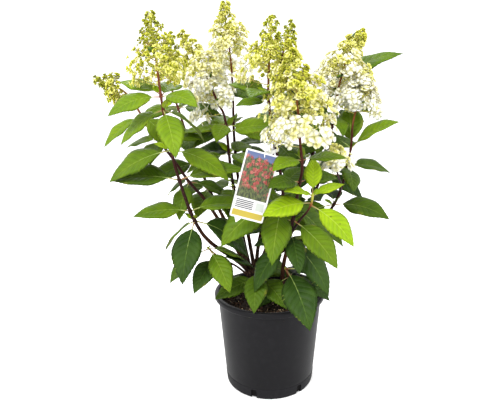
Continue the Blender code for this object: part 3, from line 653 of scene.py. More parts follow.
def pores(finish):
    """Pale raised specks, longer along the limb than round it, on the limb's own pattern."""
    placed = finish.node("Mapping", {"Vector": finish.node("TexCoord", out=2), "Scale": (1, 0.45, 1)})
    spots = finish.node("TexVoronoi", {"Vector": placed, "Scale": 300.0}, out=0)
    return 1 - spots.step(0.10, 0.22)


bark = Finish("cane bark", specular=0.04)
streaks = bark.mottle(0.004, detail=5.0, stretch=(1, 0.12, 1), where="UV")
patches = bark.mottle(0.03, detail=4.0)
old = bark.blend(patches.step(0.35, 0.65), (0.018, 0.0065, 0.0035), (0.048, 0.019, 0.010))
bark.paint(bark.blend(pores(bark) * 0.35, bark.scaled(old, 0.6 + streaks * 0.9), (0.16, 0.09, 0.06)))
bark.rough(0.5 + streaks * 0.25)
bark.relief(streaks + pores(bark) * 0.5, 0.0005)
knuckle = Finish("crown bark", roughness=0.8, specular=0.08)
flakes = knuckle.mottle(0.005, detail=6.0, stretch=(1, 1, 0.4))
knuckle.paint(knuckle.blend(flakes.step(0.35, 0.7), (0.018, 0.010, 0.007), (0.085, 0.048, 0.031)))
knuckle.relief(flakes, 0.0018)

crown_forms = [limb(Route(TRUNK_ROUTE), -0.002, 0.066,
                    lambda s: 0.0105 - 0.03 * s + 0.006 * np.exp(-(s / 0.008) ** 2), 28, 0.003, 0.10, 21)]
cane_forms = []
for number, (name, shoot) in enumerate(SHOOTS.items()):
    if shoot.side_of:
        continue
    route = routes[name]
    leafy = route.to_height(shoot.leafy * MM)
    foot = -0.002
    if not shoot.rooted:
        foot = min(route.to_height(ARM_TOP), leafy)
        crown_forms.append(limb(route, 0.0, foot + 0.002, lambda s: stem_radius(name, s) * (1.02 + 0.5 * np.exp(-s / 0.012)),
                                16, 0.0025, 0.07, 30 + number))
    if leafy > foot:
        cane_forms.append(limb(route, foot, leafy + 0.001, lambda s: stem_radius(name, s) * (1 + swelling(name, s)),
                               16, 0.0022, 0.05, 60 + number))
crown_mesh = fused("crown_lump", crown_forms, 0.0010)
crown_mesh.materials.clear()
crown_mesh.materials.append(knuckle.material)
dressed("crown_wood", crown_mesh, ["crown"])
piece("canes", [f"cane_{name}" for name in SHOOTS if f"cane_{name}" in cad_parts], [bark], cane_forms)

# Leafy stems: this year's growth above the old wood, from dark red at the foot to green at the tip.
# Each runs on as the stalk of its panicle, and a side shoot sits in the fork of the stem it leaves.
stem_forms = []
for number, (name, shoot) in enumerate(SHOOTS.items()):
    start = routes[name].to_height(shoot.leafy * MM)
    if shoot.rooted and shoot.leafy <= 178:
        start = -0.002
    flare = 0.5 if shoot.side_of else 0.0
    stem_forms.append(limb(routes[name], start, routes[name].length,
                           lambda s: stem_radius(name, s) * (1 + swelling(name, s) + flare * np.exp(-(s - start) / 0.004)),
                           12, 0.0025, 0.03, 90 + number))
FOLIAGE = [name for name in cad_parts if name.startswith("foliage_")]
PANICLES = [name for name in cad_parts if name.startswith("panicle_")]
stem = Finish("young stem", specular=0.07)
age = stem.node("Attribute", out=2, attribute_name="mark")
tint = stem.mottle(0.02, detail=3.0)
stem.paint(stem.blend(pores(stem) * 0.35, stem.scaled(stem.node(
    "ValToRGB", {0: age + tint * 0.12 - 0.06},
    stops=((0.30, (0.012, 0.0045, 0.0040)), (0.62, (0.030, 0.008, 0.006)), (0.76, (0.075, 0.016, 0.010)),
           (0.84, (0.17, 0.060, 0.018)), (0.92, (0.27, 0.27, 0.04)))), 0.75 + tint * 0.5), (0.30, 0.18, 0.11)))
stem.rough(0.42 + tint * 0.2)
stem.relief(stem.mottle(0.003, stretch=(1, 0.15, 1), where="UV"), 0.0003)
piece("leafy_stems", [], [stem], stem_forms)

# Plant label: a printed card of stiff plastic on a white strap that loops round the centre cane.
# The print is a plain garden scene over ruled lines and a yellow band, with no words on it.
CARD_WIDTH = 0.058
CARD_HEIGHT = 0.118
CARD_THICK = 0.8 * MM
CARD_CENTRE = np.array([-0.0255, -0.140, 0.447])
CARD_ROLL = math.radians(15)
CARD_LEAN = math.radians(10)
STRAP_WIDTH = 0.006
STRAP_THICK = 0.8 * MM
STRAP_LOOP_HALF = 0.0045
STRAP_PLAY = 0.7 * MM

card_across = np.array([math.cos(CARD_ROLL), 0.0, -math.sin(CARD_ROLL)])
card_out = np.array([0.0, -math.cos(CARD_LEAN), math.sin(CARD_LEAN)])
card_out = unit(card_out - card_across * np.dot(card_out, card_across))
card_up = np.cross(card_out, card_across)


def plate(outline, low, high, bow=0.0, inset=0.0002):
    """A thin plate of a closed outline (across, up), between two offsets outwards, with its rims eased.

    Its middle line is bowed outwards by bow times 1 - (2 across / width) squared.
    """
    outline = np.array(outline, float)
    middle = outline.mean(0)
    rings = []
    for offset, share in ((low, 0.02), (low, 0.5), (low, 1 - inset * 40), (low + inset, 1.0), (high - inset, 1.0),
                          (high, 1 - inset * 40), (high, 0.5), (high, 0.02)):
        flat = middle + (outline - middle) * share
        bulge = offset + bow * (1 - (2 * flat[:, 0] / CARD_WIDTH) ** 2)
        rings.append(CARD_CENTRE + flat[:, :1] * card_across + flat[:, 1:] * card_up + bulge[:, None] * card_out)
    rings = np.array(rings)
    local = (rings - CARD_CENTRE) @ np.array([card_across, card_up]).T
    return skin(rings, local / np.array([CARD_WIDTH, CARD_HEIGHT]) + 0.5)


def strap_loop():
    """A flat band from behind the card, round the cane and back: rectangles carried along a hairpin."""
    anchor = CARD_CENTRE + card_up * (CARD_HEIGHT / 2 - 0.006)
    hung = routes["centre"].to_height(anchor[2] + 0.004)
    cane = routes["centre"].at(hung)
    away = (cane - anchor) * (1, 1, 0)
    distance = np.linalg.norm(away)
    ahead = away / distance
    level = np.array([0.0, 0.0, 1.0])
    aside = np.cross(level, ahead)
    beyond = float(stem_radius("centre", hung)) + STRAP_PLAY + STRAP_THICK / 2
    turn = np.linspace(0.1, math.pi - 0.1, 17)
    half = STRAP_LOOP_HALF
    line = np.concatenate([[(0.0, -0.8 * half), (distance * 0.55, -half)],
                           np.stack([distance + beyond * np.sin(turn), -half * np.cos(turn)], -1),
                           [(distance * 0.55, half), (0.0, 0.8 * half)]])
    slope = unit(np.gradient(line, axis=0))
    normal = np.stack([slope[:, 1], -slope[:, 0]], -1) * STRAP_THICK / 2
    centre = anchor + line[:, :1] * ahead + line[:, 1:] * aside + level * (cane[2] - anchor[2]) * line[:, :1] / distance
    out = normal[:, :1] * ahead + normal[:, 1:] * aside
    rise = level * STRAP_WIDTH / 2
    rings = np.stack([centre - out - rise, centre - out + rise, centre + out + rise, centre + out - rise], 1)
    return skin(rings, np.zeros(rings.shape[:2] + (2,)))


card_outline = arc(CARD_WIDTH / 2 - 0.003, CARD_HEIGHT / 2 - 0.003, 0.003, 0, 90, 5)
card_outline += arc(0.003 - CARD_WIDTH / 2, CARD_HEIGHT / 2 - 0.003, 0.003, 90, 180, 5)
card_outline += arc(0.003 - CARD_WIDTH / 2, 0.003 - CARD_HEIGHT / 2, 0.003, 180, 270, 5)
card_outline += arc(CARD_WIDTH / 2 - 0.003, 0.003 - CARD_HEIGHT / 2, 0.003, 270, 360, 5)
tail_half = 0.004
tail_foot = -CARD_HEIGHT / 2
tail = np.array([(-tail_half, tail_foot + 0.002), (-1.6 * tail_half, tail_foot + 0.001), (0, tail_foot - 0.009),
                 (1.6 * tail_half, tail_foot + 0.001), (tail_half, tail_foot + 0.002),
                 (tail_half, CARD_HEIGHT / 2 - 0.01), (-tail_half, CARD_HEIGHT / 2 - 0.01)])
tail[:, 0] += -0.014 * (CARD_HEIGHT / 2 - tail[:, 1]) / CARD_HEIGHT

print_finish = Finish("printed card", roughness=0.32, specular=0.5)
spot = print_finish.node("TexCoord", out=2)
across_card = print_finish.node("SeparateXYZ", {0: spot}, out=0)
up_card = print_finish.node("SeparateXYZ", {0: spot}, out=1)
wave = print_finish.mottle(0.35, detail=3.0, where="UV")
ragged = print_finish.mottle(0.03, detail=4.0, where="UV") - 0.5
sky = print_finish.blend(up_card.step(0.7, 1.0), (0.11, 0.15, 0.27), (0.055, 0.080, 0.18))
hill = print_finish.blend(print_finish.mottle(0.05, detail=6.0, where="UV").step(0.35, 0.65),
                          (0.010, 0.014, 0.005), (0.075, 0.095, 0.024))
grid_of_heads = print_finish.node("Mapping", {"Vector": spot, "Scale": (9, 17, 1)})
heads = print_finish.node("TexVoronoi", {"Vector": grid_of_heads, "Scale": 1.0})
kind = print_finish.node("SeparateXYZ", {0: print_finish.node("TexVoronoi", {"Vector": grid_of_heads, "Scale": 1.0}, out=1)}, out=0)
petals = print_finish.node("TexVoronoi", {"Vector": print_finish.node("Mapping", {"Vector": spot, "Scale": (40, 76, 1)}),
                                          "Scale": 1.0})
coral = print_finish.blend(kind.step(0.3, 0.7), (0.28, 0.040, 0.032), (0.37, 0.11, 0.085))
coral = print_finish.blend(petals.step(0.25, 0.75) * 0.7, coral, (0.080, 0.008, 0.007))
ground_edge = (0.80 + wave * 0.22) - up_card
picture = print_finish.blend(ground_edge.step(0.0, 0.03), sky, hill)
band_of_heads = ((1 - (heads + ragged * 0.9).step(0.42, 0.56)) * ground_edge.step(-0.03, 0.02)
                 * (up_card + across_card * 0.14 + ragged * 0.3).step(0.44, 0.54))
picture = print_finish.blend(band_of_heads, picture, coral)
inside = across_card.step(0.045, 0.05) * (1 - across_card.step(0.95, 0.955)) * (1 - up_card.step(0.972, 0.975))
rules = (abs((up_card * 38).part() - 0.5)).step(0.16, 0.26) * up_card.step(0.145, 0.15) * (1 - up_card.step(0.27, 0.275))
rules = rules * across_card.step(0.08, 0.09) * (1 - across_card.step(0.60, 0.61))
label_colour = print_finish.blend(rules, (0.50, 0.50, 0.495), (0.04, 0.04, 0.045))
tint_box = (across_card.step(0.68, 0.685) * (1 - across_card.step(0.92, 0.925))
            * up_card.step(0.15, 0.155) * (1 - up_card.step(0.27, 0.275)))
label_colour = print_finish.blend(tint_box * 0.6, label_colour, (0.20, 0.24, 0.19))
label_colour = print_finish.blend(inside * up_card.step(0.30, 0.304), label_colour, picture)
label_colour = print_finish.blend(inside * up_card.step(0.025, 0.03) * (1 - up_card.step(0.115, 0.12)),
                                  label_colour, (0.29, 0.225, 0.014))
print_finish.paint(label_colour)
white_plastic = Finish("white plastic", roughness=0.4)
white_plastic.paint(white_plastic.blend(white_plastic.mottle(0.01), (0.76, 0.76, 0.75), (0.84, 0.84, 0.82)))
piece("label_card", ["label"], [print_finish, white_plastic],
      [plate(card_outline, -CARD_THICK / 2, CARD_THICK / 2),
       plate(tail, -CARD_THICK * 1.3, -CARD_THICK * 0.6)._replace(worn=[1, 1, 1]),
       strap_loop()._replace(worn=[1, 1, 1])], crease=35)

# Panicles: a cone of branchlets in a spiral up the stalk, each forked into short twigs with a
# four-sepalled floret on each. They open from the foot up: lime buds, then cream, then white.
GOLDEN_TURN = math.pi * (3 - math.sqrt(5))
FLORET_RADIUS = 0.0135
FLORET_THICK = 0.003
TWIGS_PER_SPRAY = 20

Spray = namedtuple("Spray", "foot end way reach share ripeness")
growth = np.random.default_rng(41)


def found_in(node):
    """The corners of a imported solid, ready to be asked for the one nearest to a point."""
    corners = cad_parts[node].data.vertices
    tree = KDTree(len(corners))
    for corner in corners:
        tree.insert(corner.co, corner.index)
    tree.balance()
    return tree


def sprays_of(name):
    """The branchlets of a panicle by the solids' rule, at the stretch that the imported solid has."""
    route, bloom = routes[name], SHOOTS[name].bloom
    solid = found_in(f"panicle_{name}")
    start = route.to_height(bloom.foot * MM) + 0.3 * MM
    found = []
    for k in range(bloom.sprays):
        share = ((k + 0.5) / bloom.sprays) ** 0.9
        distance = start + 0.008 + (route.length - start - 0.010) * share
        foot = route.at(distance)
        forward = route.heading(distance)
        turn = GOLDEN_TURN * k + growth.uniform(-0.3, 0.3)
        side = unit(np.cross(forward, (0.13, 0.97, 0.2)))
        outward = math.cos(turn) * side + math.sin(turn) * np.cross(forward, side)
        lift = 0.25 + 1.1 * share + growth.uniform(-0.15, 0.15)
        reach = (bloom.reach * (1 - share) ** 0.8 * growth.uniform(0.72, 1.0) + 6) * MM
        growth.uniform(0, 2)
        along = unit(outward + forward * lift)
        normal = unit(along + np.array([0.0, 0.0, 0.25]))
        for stretch in (1.0, 0.84, 1.12, 0.7, 0.58):
            end = foot + along * reach * stretch
            if solid.find(end + normal * FLORET_THICK)[2] < 0.2 * MM:
                found.append(Spray(foot, end, along, reach * stretch, share, bloom.ripeness))
                break
    return found


def struts(feet, ends, foot_radius, end_radius, sides=3, bend=None):
    """Many thin twigs at once: each a tube of three rings, bowed by bend halfway from foot to end."""
    feet, ends = np.asarray(feet), np.asarray(ends)
    bend = np.zeros_like(feet) if bend is None else bend
    forward = unit(ends - feet)
    across = unit(np.cross(forward, (0.31, 0.52, 0.79)))
    aside = np.cross(forward, across)
    angle = 2 * math.pi * np.arange(sides) / sides
    spokes = np.cos(angle)[:, None] * across[:, None] + np.sin(angle)[:, None] * aside[:, None]
    middle_radius = (np.asarray(foot_radius) + end_radius) / 2
    rings = [place[:, None] + np.reshape(radius, (-1, 1, 1)) * spokes for place, radius in
             ((feet, foot_radius), ((feet + ends) / 2 + bend, middle_radius), (ends, end_radius))]
    points = np.stack(rings, 1).reshape(-1, 3)
    one = [quads(3, sides), np.arange(sides)[::-1][None], (np.arange(sides) + 2 * sides)[None]]
    steps = 3 * sides * np.arange(len(feet))[:, None, None]
    return Form(points, [(face[None] + steps).reshape(-1, face.shape[1]) for face in one])


def floret(cup, curl, width=0.5):
    """One floret of unit radius facing +Z, and how far out each of its points is: four sepals, each a
    rounded leaf of seven rim points with a middle point above and below.

    At share u a sepal lies u cos(cup) out and u sin(cup) - curl u^2 up, plus a little at its sides.
    """
    along = np.array([0.05, 0.32, 0.68, 0.94, 0.94, 0.68, 0.32, 0.58, 0.58])
    wide = np.array([0.0, 0.66, 1.0, 0.50, -0.50, -1.0, -0.66, 0.0, 0.0]) * width
    rise = along * math.sin(cup) - curl * along ** 2 + 0.20 * wide ** 2
    rise += np.array([0, 0, 0, 0, 0, 0, 0, 0.01, -0.05])
    sepal = np.stack([along * math.cos(cup), wide, rise], -1)
    rim = np.arange(7)
    one = np.concatenate([fan(rim[::-1], 8), fan(rim, 7)])
    points, faces = [], []
    for k, size in enumerate((1.0, 0.90, 1.05, 0.86)):
        turn = math.pi / 2 * k + (0.10, -0.08, 0.04, 0.12)[k]
        spin = np.array([[math.cos(turn), math.sin(turn), 0], [-math.sin(turn), math.cos(turn), 0], [0, 0, 1]])
        points.append((sepal * size + (0, 0, 0.018 * (k % 2))) @ spin)
        faces.append(one + 9 * k)
    bead = np.array([(0.10, 0, 0.05), (0, 0.10, 0.05), (-0.10, 0, 0.05), (0, -0.10, 0.05), (0, 0, 0.17), (0, 0, -0.03)])
    around = np.arange(4)
    heart = np.concatenate([fan(around, 4), fan(around[::-1], 5)]) + 36
    return np.concatenate([*points, bead]), [np.concatenate(faces), heart], np.concatenate([np.tile(along, 4), np.zeros(6)])


def stamped(shape, faces, places, normals, sizes, spins, mark=None):
    """Copies of a shape that faces +Z: each is turned to its normal, spun round it, sized and placed."""
    side = unit(np.cross(normals, (0.21, 0.93, 0.31)))
    other = np.cross(normals, side)
    cos, sin = np.cos(spins)[:, None], np.sin(spins)[:, None]
    frame_of = np.stack([cos * side + sin * other, cos * other - sin * side, normals], -1)
    points = np.einsum("nij,kj->nki", frame_of, shape) * sizes[:, None, None] + places[:, None]
    steps = len(shape) * np.arange(len(places))[:, None, None]
    return Form(points.reshape(-1, 3), [(f[None] + steps).reshape(-1, f.shape[1]) for f in faces], None, None,
                None if mark is None else np.tile(mark, len(places)))


def petal_finish(name, heart, middle, rim):
    """Thin waxy sepals: greener at the heart, paler at the rim, with a fine bumpy relief."""
    made = Finish(name, roughness=0.6, specular=0.15, lets_through=0.54)
    out = made.node("Attribute", out=2, attribute_name="mark")
    patch = made.mottle(0.011, detail=2.0).step(0.3, 0.7)
    made.paint(made.node("ValToRGB", {0: out + patch * 0.34 - 0.14}, stops=((0.12, heart), (0.55, middle), (0.95, rim))))
    made.rough(0.55 + patch * 0.1)
    made.relief(made.mottle(0.0012, detail=2.0), 0.0003, 0.4)
    return made


sprays = [spray for name, shoot in SHOOTS.items() if shoot.bloom for spray in sprays_of(name)]
feet, ends, ways, reaches, shares, ripeness = (np.array(column)[:, None] for column in zip(*sprays))
draw = np.random.default_rng(77)
count = len(sprays)
twig = np.arange(TWIGS_PER_SPRAY)[None]
# Each twig leaves its branchlet at a share of its length, in a golden spiral, and leans forward.
place_share = 0.34 + 0.66 * ((twig + 0.5) / TWIGS_PER_SPRAY) ** 0.65
place_share = np.clip(place_share + draw.normal(0, 0.03, (count, TWIGS_PER_SPRAY)), 0.2, 1.0)
# Towards the tip of a panicle the twigs crowd at the ends of their short branchlets.
near_tip = np.clip((shares - 0.40) / 0.35, 0, 1)
place_share = place_share * (1 - near_tip) + (0.60 + 0.30 * (twig + 0.5) / TWIGS_PER_SPRAY) * near_tip
twig_turn = GOLDEN_TURN * twig + draw.uniform(0, 2 * math.pi, (count, 1)) + draw.normal(0, 0.3, place_share.shape)
side = unit(np.cross(ways, (0.4, 0.2, 0.9)))
other = np.cross(ways, side)
outward = np.cos(twig_turn)[..., None] * side + np.sin(twig_turn)[..., None] * other
twig_way = unit(outward + ways * (0.25 + 1.2 * place_share[..., None] ** 3) + np.array([0, 0, 0.15]))
opened = ripeness + 0.40 - 0.95 * shares ** 0.85 + 0.12 * (place_share - 0.7) + draw.normal(0, 0.13, place_share.shape)
opened = np.clip(opened, 0.0, 1.25)
floret_size = (4.6 + 7.0 * np.clip(opened, 0, 1.05) ** 1.2) * MM
floret_size = floret_size * draw.uniform(0.80, 1.18, opened.shape)
twig_length = np.minimum(0.26 * reaches + 0.55 * floret_size + 0.002, 0.017) * (1 - 0.55 * near_tip) * draw.uniform(0.55, 1.15, opened.shape)
twig_foot = feet + ways * (reaches * place_share)[..., None]
twig_end = twig_foot + twig_way * twig_length[..., None]
face_way = unit(0.7 * twig_way + 0.7 * ways + draw.normal(0, 0.20, twig_way.shape) + np.array([0, 0, 0.12]))
# Open florets need more room, and the tip of a panicle is thin.
room = np.where(opened > 0.62, 0.62, 0.94 - 0.44 * near_tip)
grown = draw.uniform(size=opened.shape) < room
spin = draw.uniform(0, 2 * math.pi, opened.shape)
grade = np.digitize(opened, (0.20, 0.42, 0.66, 0.90))

petal_finishes = [
    petal_finish("bud lime", (0.21, 0.28, 0.016), (0.46, 0.50, 0.037), (0.64, 0.65, 0.075)),
    petal_finish("young lime", (0.36, 0.43, 0.028), (0.69, 0.70, 0.085), (0.84, 0.83, 0.16)),
    petal_finish("opening yellow", (0.60, 0.63, 0.085), (0.91, 0.89, 0.27), (0.96, 0.94, 0.46)),
    petal_finish("open cream", (0.87, 0.84, 0.33), (0.985, 0.96, 0.59), (0.99, 0.98, 0.80)),
    petal_finish("open white", (0.96, 0.93, 0.60), (0.99, 0.98, 0.85), (0.99, 0.99, 0.96)),
]
heart = Finish("floret heart", roughness=0.5, specular=0.2)
heart.paint(heart.blend(heart.mottle(0.02).step(0.4, 0.6), (0.62, 0.62, 0.14), (0.80, 0.72, 0.24)))
forms = []
for k, (cup, curl) in enumerate(((1.05, 0.30), (0.88, 0.22), (0.60, 0.16), (0.40, 0.18), (0.28, 0.20))):
    mine = (grade == k) & grown
    shape, faces, out = floret(cup, curl)
    made = stamped(shape, faces, twig_end[mine], face_way[mine], floret_size[mine], spin[mine], out)
    forms.append(made._replace(worn=[k, 5]))
piece("florets_young", PANICLES, [*petal_finishes, heart], forms[:3])
piece("florets_open", PANICLES, [*petal_finishes, heart], forms[3:])

main = struts(feet[:, 0], ends[:, 0], 0.95 * MM, 0.55 * MM, 5, bend=np.array([0, 0, -0.05]) * reaches)
fine = struts(twig_foot[grown], twig_end[grown], 0.45 * MM, 0.32 * MM, 3)
BEADS = 12
bead_share = draw.uniform(0.25, 1.0, (count, BEADS))
bead_out = unit(draw.normal(size=(count, BEADS, 3)))
bead_place = feet + ways * (reaches * bead_share)[..., None] + bead_out * draw.uniform(0.001, 0.007, (count, BEADS, 1))
beads = stamped(nugget, [nugget_faces], bead_place.reshape(-1, 3), bead_out.reshape(-1, 3),
                draw.uniform(0.0010, 0.0018, count * BEADS), np.zeros(count * BEADS))
twig_finish = Finish("panicle twig", roughness=0.55, specular=0.2)
twig_finish.paint(twig_finish.blend(twig_finish.mottle(0.03).step(0.35, 0.65), (0.46, 0.48, 0.11), (0.36, 0.27, 0.085)))
bud = Finish("closed bud", roughness=0.5, specular=0.2)
bud.paint(bud.blend(bud.mottle(0.01).step(0.35, 0.65), (0.40, 0.46, 0.05), (0.66, 0.62, 0.16)))
piece("panicle_twigs", PANICLES, [twig_finish, bud], [main, fine, beads._replace(worn=[1])])

# Small narrow leaves sit among the lower branchlets of each panicle.
BRACT = 0.020
bracted = (np.arange(count) % 4 == 2) & (shares[:, 0] < 0.55)
bract_way = unit(ways[bracted, 0] + np.array([0, 0, 0.2]))
shape, faces, out = floret(0.15, 0.10, 0.22)
bracts = stamped(shape[:9], [faces[0][:14]], feet[bracted, 0] + bract_way * reaches[bracted] * 0.7,
                 unit(np.cross(np.cross(bract_way, (0, 0, 1.0)), bract_way)), BRACT * draw.uniform(0.7, 1.3, bracted.sum()),
                 draw.uniform(0, 2 * math.pi, bracted.sum()))
bract = Finish("bract green", roughness=0.5, specular=0.2)
bract.paint(bract.blend(bract.mottle(0.01).step(0.35, 0.65), (0.020, 0.050, 0.005), (0.075, 0.140, 0.010)))
piece("panicle_bracts", PANICLES, [bract], [bracts])

# Leaves: whorls of three pointed oval blades on short stalks, toothed along the margin, folded a
# little along the midrib and drooping. Young ones are lime and older ones darker, paler underneath;
# leaves low down, deep in the crown and on the right are painted darker still, as painted shade.
PETIOLE_SHARE = 0.16
LEAF_WIDTH_SHARE = 0.27
LEAF_DROOP = math.radians(40)
FACE_TURN = math.radians(34)
REAR_LIFT = 16
LEAF_FOLD = math.radians(16)
BLADE_THICK = 0.5 * MM
TEETH = 15

LeafPlan = namedtuple("LeafPlan", "foot heading rise length roll droop tone")
TONE_RISE = 0.60


def leaf_youth_and_shade(name, whorl, height_share):
    """How light a leaf's green is, from 0 for dark to 1 for fresh lime: partly its youth and partly
    painted shade, darker low down, deep in the crown and on the right.
    """
    # Each shoot's base is set darker for shoots low down, deep in the crown and on the right: painted shade. The rise
    # with height lightens the young leaves near the tips.
    base = {"front_side": 1.0, "left_inner": 0.52, "left": 0.47, "far_left": 0.44, "low_right": -0.06,
            "low_front": 0.20, "low_left": 0.10, "centre": 0.38, "front": 0.36, "rear": 0.22,
            "right_tall": 0.20, "right": 0.34, "right_rear": 0.30, "left_rear": 0.34, "centre_rear": 0.32}
    return base.get(name, 0.40) + TONE_RISE * (height_share - 0.55)


def spines(plans, shares):
    """Along every leaf at once: points, forward, right-hand and upward directions of its midrib.

    At a share s the midrib climbs at rise + droop (0.5 - s), and the points are the sum of that
    slope's steps, 24 of them to each point. The roll turns the blade round its midrib.
    """
    heading = plans["heading"][:, None]
    flat = np.stack([np.cos(heading), np.sin(heading), np.zeros_like(heading)], -1)
    up = np.array([0.0, 0.0, 1.0])
    steps = (np.arange(24) + 0.5) / 24
    rise, droop = plans["rise"][:, None], plans["droop"][:, None]
    pitch = rise[..., None] + droop[..., None] * (0.5 - steps * shares[None, :, None])
    run = plans["length"][:, None] * shares
    places = (plans["foot"][:, None] + flat * (run * np.cos(pitch).mean(-1))[..., None]
              + up * (run * np.sin(pitch).mean(-1))[..., None])
    pitch = (rise + droop * (0.5 - shares))[..., None]
    forward = flat * np.cos(pitch) + up * np.sin(pitch)
    upward = up * np.cos(pitch) - flat * np.sin(pitch)
    right = np.cross(forward, upward)
    roll = plans["roll"][:, None, None]
    turned = np.cos(roll) * upward + np.sin(roll) * right
    return places, forward, np.cross(forward, turned), turned


def gathered(plans):
    return {key: np.array(values) for key, values in zip(LeafPlan._fields, zip(*plans))}


def leaves_of(name):
    """The leaves of a shoot by the solids' rule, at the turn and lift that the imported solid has."""
    route, shoot = routes[name], SHOOTS[name]
    solid = found_in(f"foliage_{shoot.side_of or name}")
    found = []
    for whorl in shoot.whorls:
        distance = route.to_height(whorl.height * MM)
        foot = route.at(distance)
        for k in range(whorl.count):
            lean, roll, size, droop = growth.uniform(-1, 1, 4)
            hero = k == 0
            length = whorl.length * MM * (1 + (0.0 if hero else 0.10) * size)
            heading = math.radians(whorl.heading + 360 / whorl.count * k)
            rise = math.radians(whorl.rise + (0 if hero else 7 * lean + REAR_LIFT * math.sin(heading)))
            roll = math.radians(14) * roll + FACE_TURN * math.cos(heading)
            tries = [LeafPlan(foot, heading + math.radians(turn), rise + math.radians(lift), length,
                              roll, LEAF_DROOP * (1 + 0.25 * droop), 0.0)
                     for turn, lift in ((0, 0), (9, 0), (-9, 0), (0, 10), (0, -10), (18, 6), (-18, 6), (27, -8),
                                        (-27, -8), (12, 20), (-12, 20), (36, 0), (-36, 0), (20, -20), (-20, -20),
                                        (48, 10), (-48, 10), (30, 30), (-30, 30))]
            tips = spines(gathered(tries), np.array([1.0]))[0][:, 0]
            for plan, tip in zip(tries, tips):
                if solid.find(tip)[2] < 0.2 * MM:
                    found.append(plan._replace(tone=leaf_youth_and_shade(name, whorl, distance / route.length)))
                    break
    return found


def blade_half_width(share):
    """Half-width along a blade: broad below the middle and long-pointed."""
    return 1.1 * np.sin(math.pi * share ** 0.82) ** 0.95 * (1 - 0.22 * share)


def blades(plans, rows=30):
    """All blades at once, each a flat closed tube: rings that cross the top from the left margin to
    the right one and come back underneath.

    Across the blade, w runs from -1 to 1. The blade rises from its midrib by the fold, sags between
    midrib and margin, and its margin waves up and down and carries forward-pointing teeth.
    """
    top = np.array([-1, -0.72, -0.38, 0, 0.38, 0.72, 1])
    under = np.array([0.7, 0.36, 0, -0.36, -0.7])
    w = np.concatenate([top, under])
    face = np.concatenate([[0], np.ones(5), [0], -np.ones(5)]) * BLADE_THICK / 2
    u = np.concatenate([[0.002], np.linspace(0.03, 0.97, rows - 2), [0.996]])
    places, forward, right, upward = spines(plans, PETIOLE_SHARE + (1 - PETIOLE_SHARE) * u)
    draw = np.random.default_rng(5)
    many = len(plans["length"])
    start = draw.uniform(0, 2 * math.pi, (many, 1, 1))
    width = plans["length"][:, None] * (1 - PETIOLE_SHARE) * LEAF_WIDTH_SHARE * draw.uniform(0.94, 1.08, (many, 1))
    half = np.maximum(width * blade_half_width(np.clip(u, 0.0, 0.999)), 0.25 * MM)[..., None]
    tooth = (np.arange(rows) % 2)[None, :, None] * (np.abs(w) == 1)
    out = half * w * (1 + 0.022 * tooth)
    rise = half * np.abs(w) * math.sin(LEAF_FOLD) * draw.uniform(0.5, 1.25, (many, 1, 1))
    rise = rise - half * 0.16 * np.abs(w) ** 2.5
    wave = np.sin(u[None, :, None] * 14 + start + 1.3 * np.sign(w)) * 0.055 * half * w ** 2
    puff = np.sin(math.pi * np.abs(w)) * half * 0.05
    points = (places[:, :, None] + right[:, :, None] * (out * math.cos(LEAF_FOLD))[..., None]
              + upward[:, :, None] * (rise + wave + puff + face)[..., None]
              + forward[:, :, None] * (tooth * 0.012 * plans["length"][:, None, None])[..., None])
    uv = np.broadcast_to(np.stack(np.broadcast_arrays(u[:, None], (w + 1) / 2), -1), points.shape[:-1] + (2,))
    return points, uv


def ribs(plans, rows=11, sides=5):
    """Stalk and midrib of every leaf as one taper: round below the blade, then a ridge under it."""
    share = np.concatenate([np.linspace(0.0, PETIOLE_SHARE, 4), np.linspace(PETIOLE_SHARE + 0.05, 0.93, rows - 4)])
    places, forward, right, upward = spines(plans, share)
    blade = np.clip((share - PETIOLE_SHARE) / (1 - PETIOLE_SHARE), 0, 1)
    size = (1.35 - 0.35 * np.clip(share / PETIOLE_SHARE, 0, 1) - 0.85 * blade)[None] * MM * plans["length"][:, None] / 0.11
    angle = 2 * math.pi * np.arange(sides) / sides
    middle = places - upward * (0.35 * MM * (blade > 0))[None, :, None]
    points = middle[:, :, None] + size[..., None, None] * (
        np.cos(angle)[:, None] * upward[:, :, None] + np.sin(angle)[:, None] * right[:, :, None])
    return points, np.repeat(share, sides)


def many_skins(points, uv=None, mark=None):
    """Closed skins over rings for many pieces of one build: (pieces, rings, points, 3). Gives back the
    points and the face numbers of the sides, ring after ring, and of the two ends."""
    many, rows, sides = points.shape[:3]
    per = rows * sides
    steps = per * np.arange(many)[:, None, None]
    around = np.arange(sides)
    walls = (quads(rows, sides)[None] + steps).reshape(many, rows - 1, sides, 4)
    ends = np.array([around[::-1], around + per - sides])
    return points.reshape(-1, 3), walls, (ends[None] + steps).reshape(-1, sides)


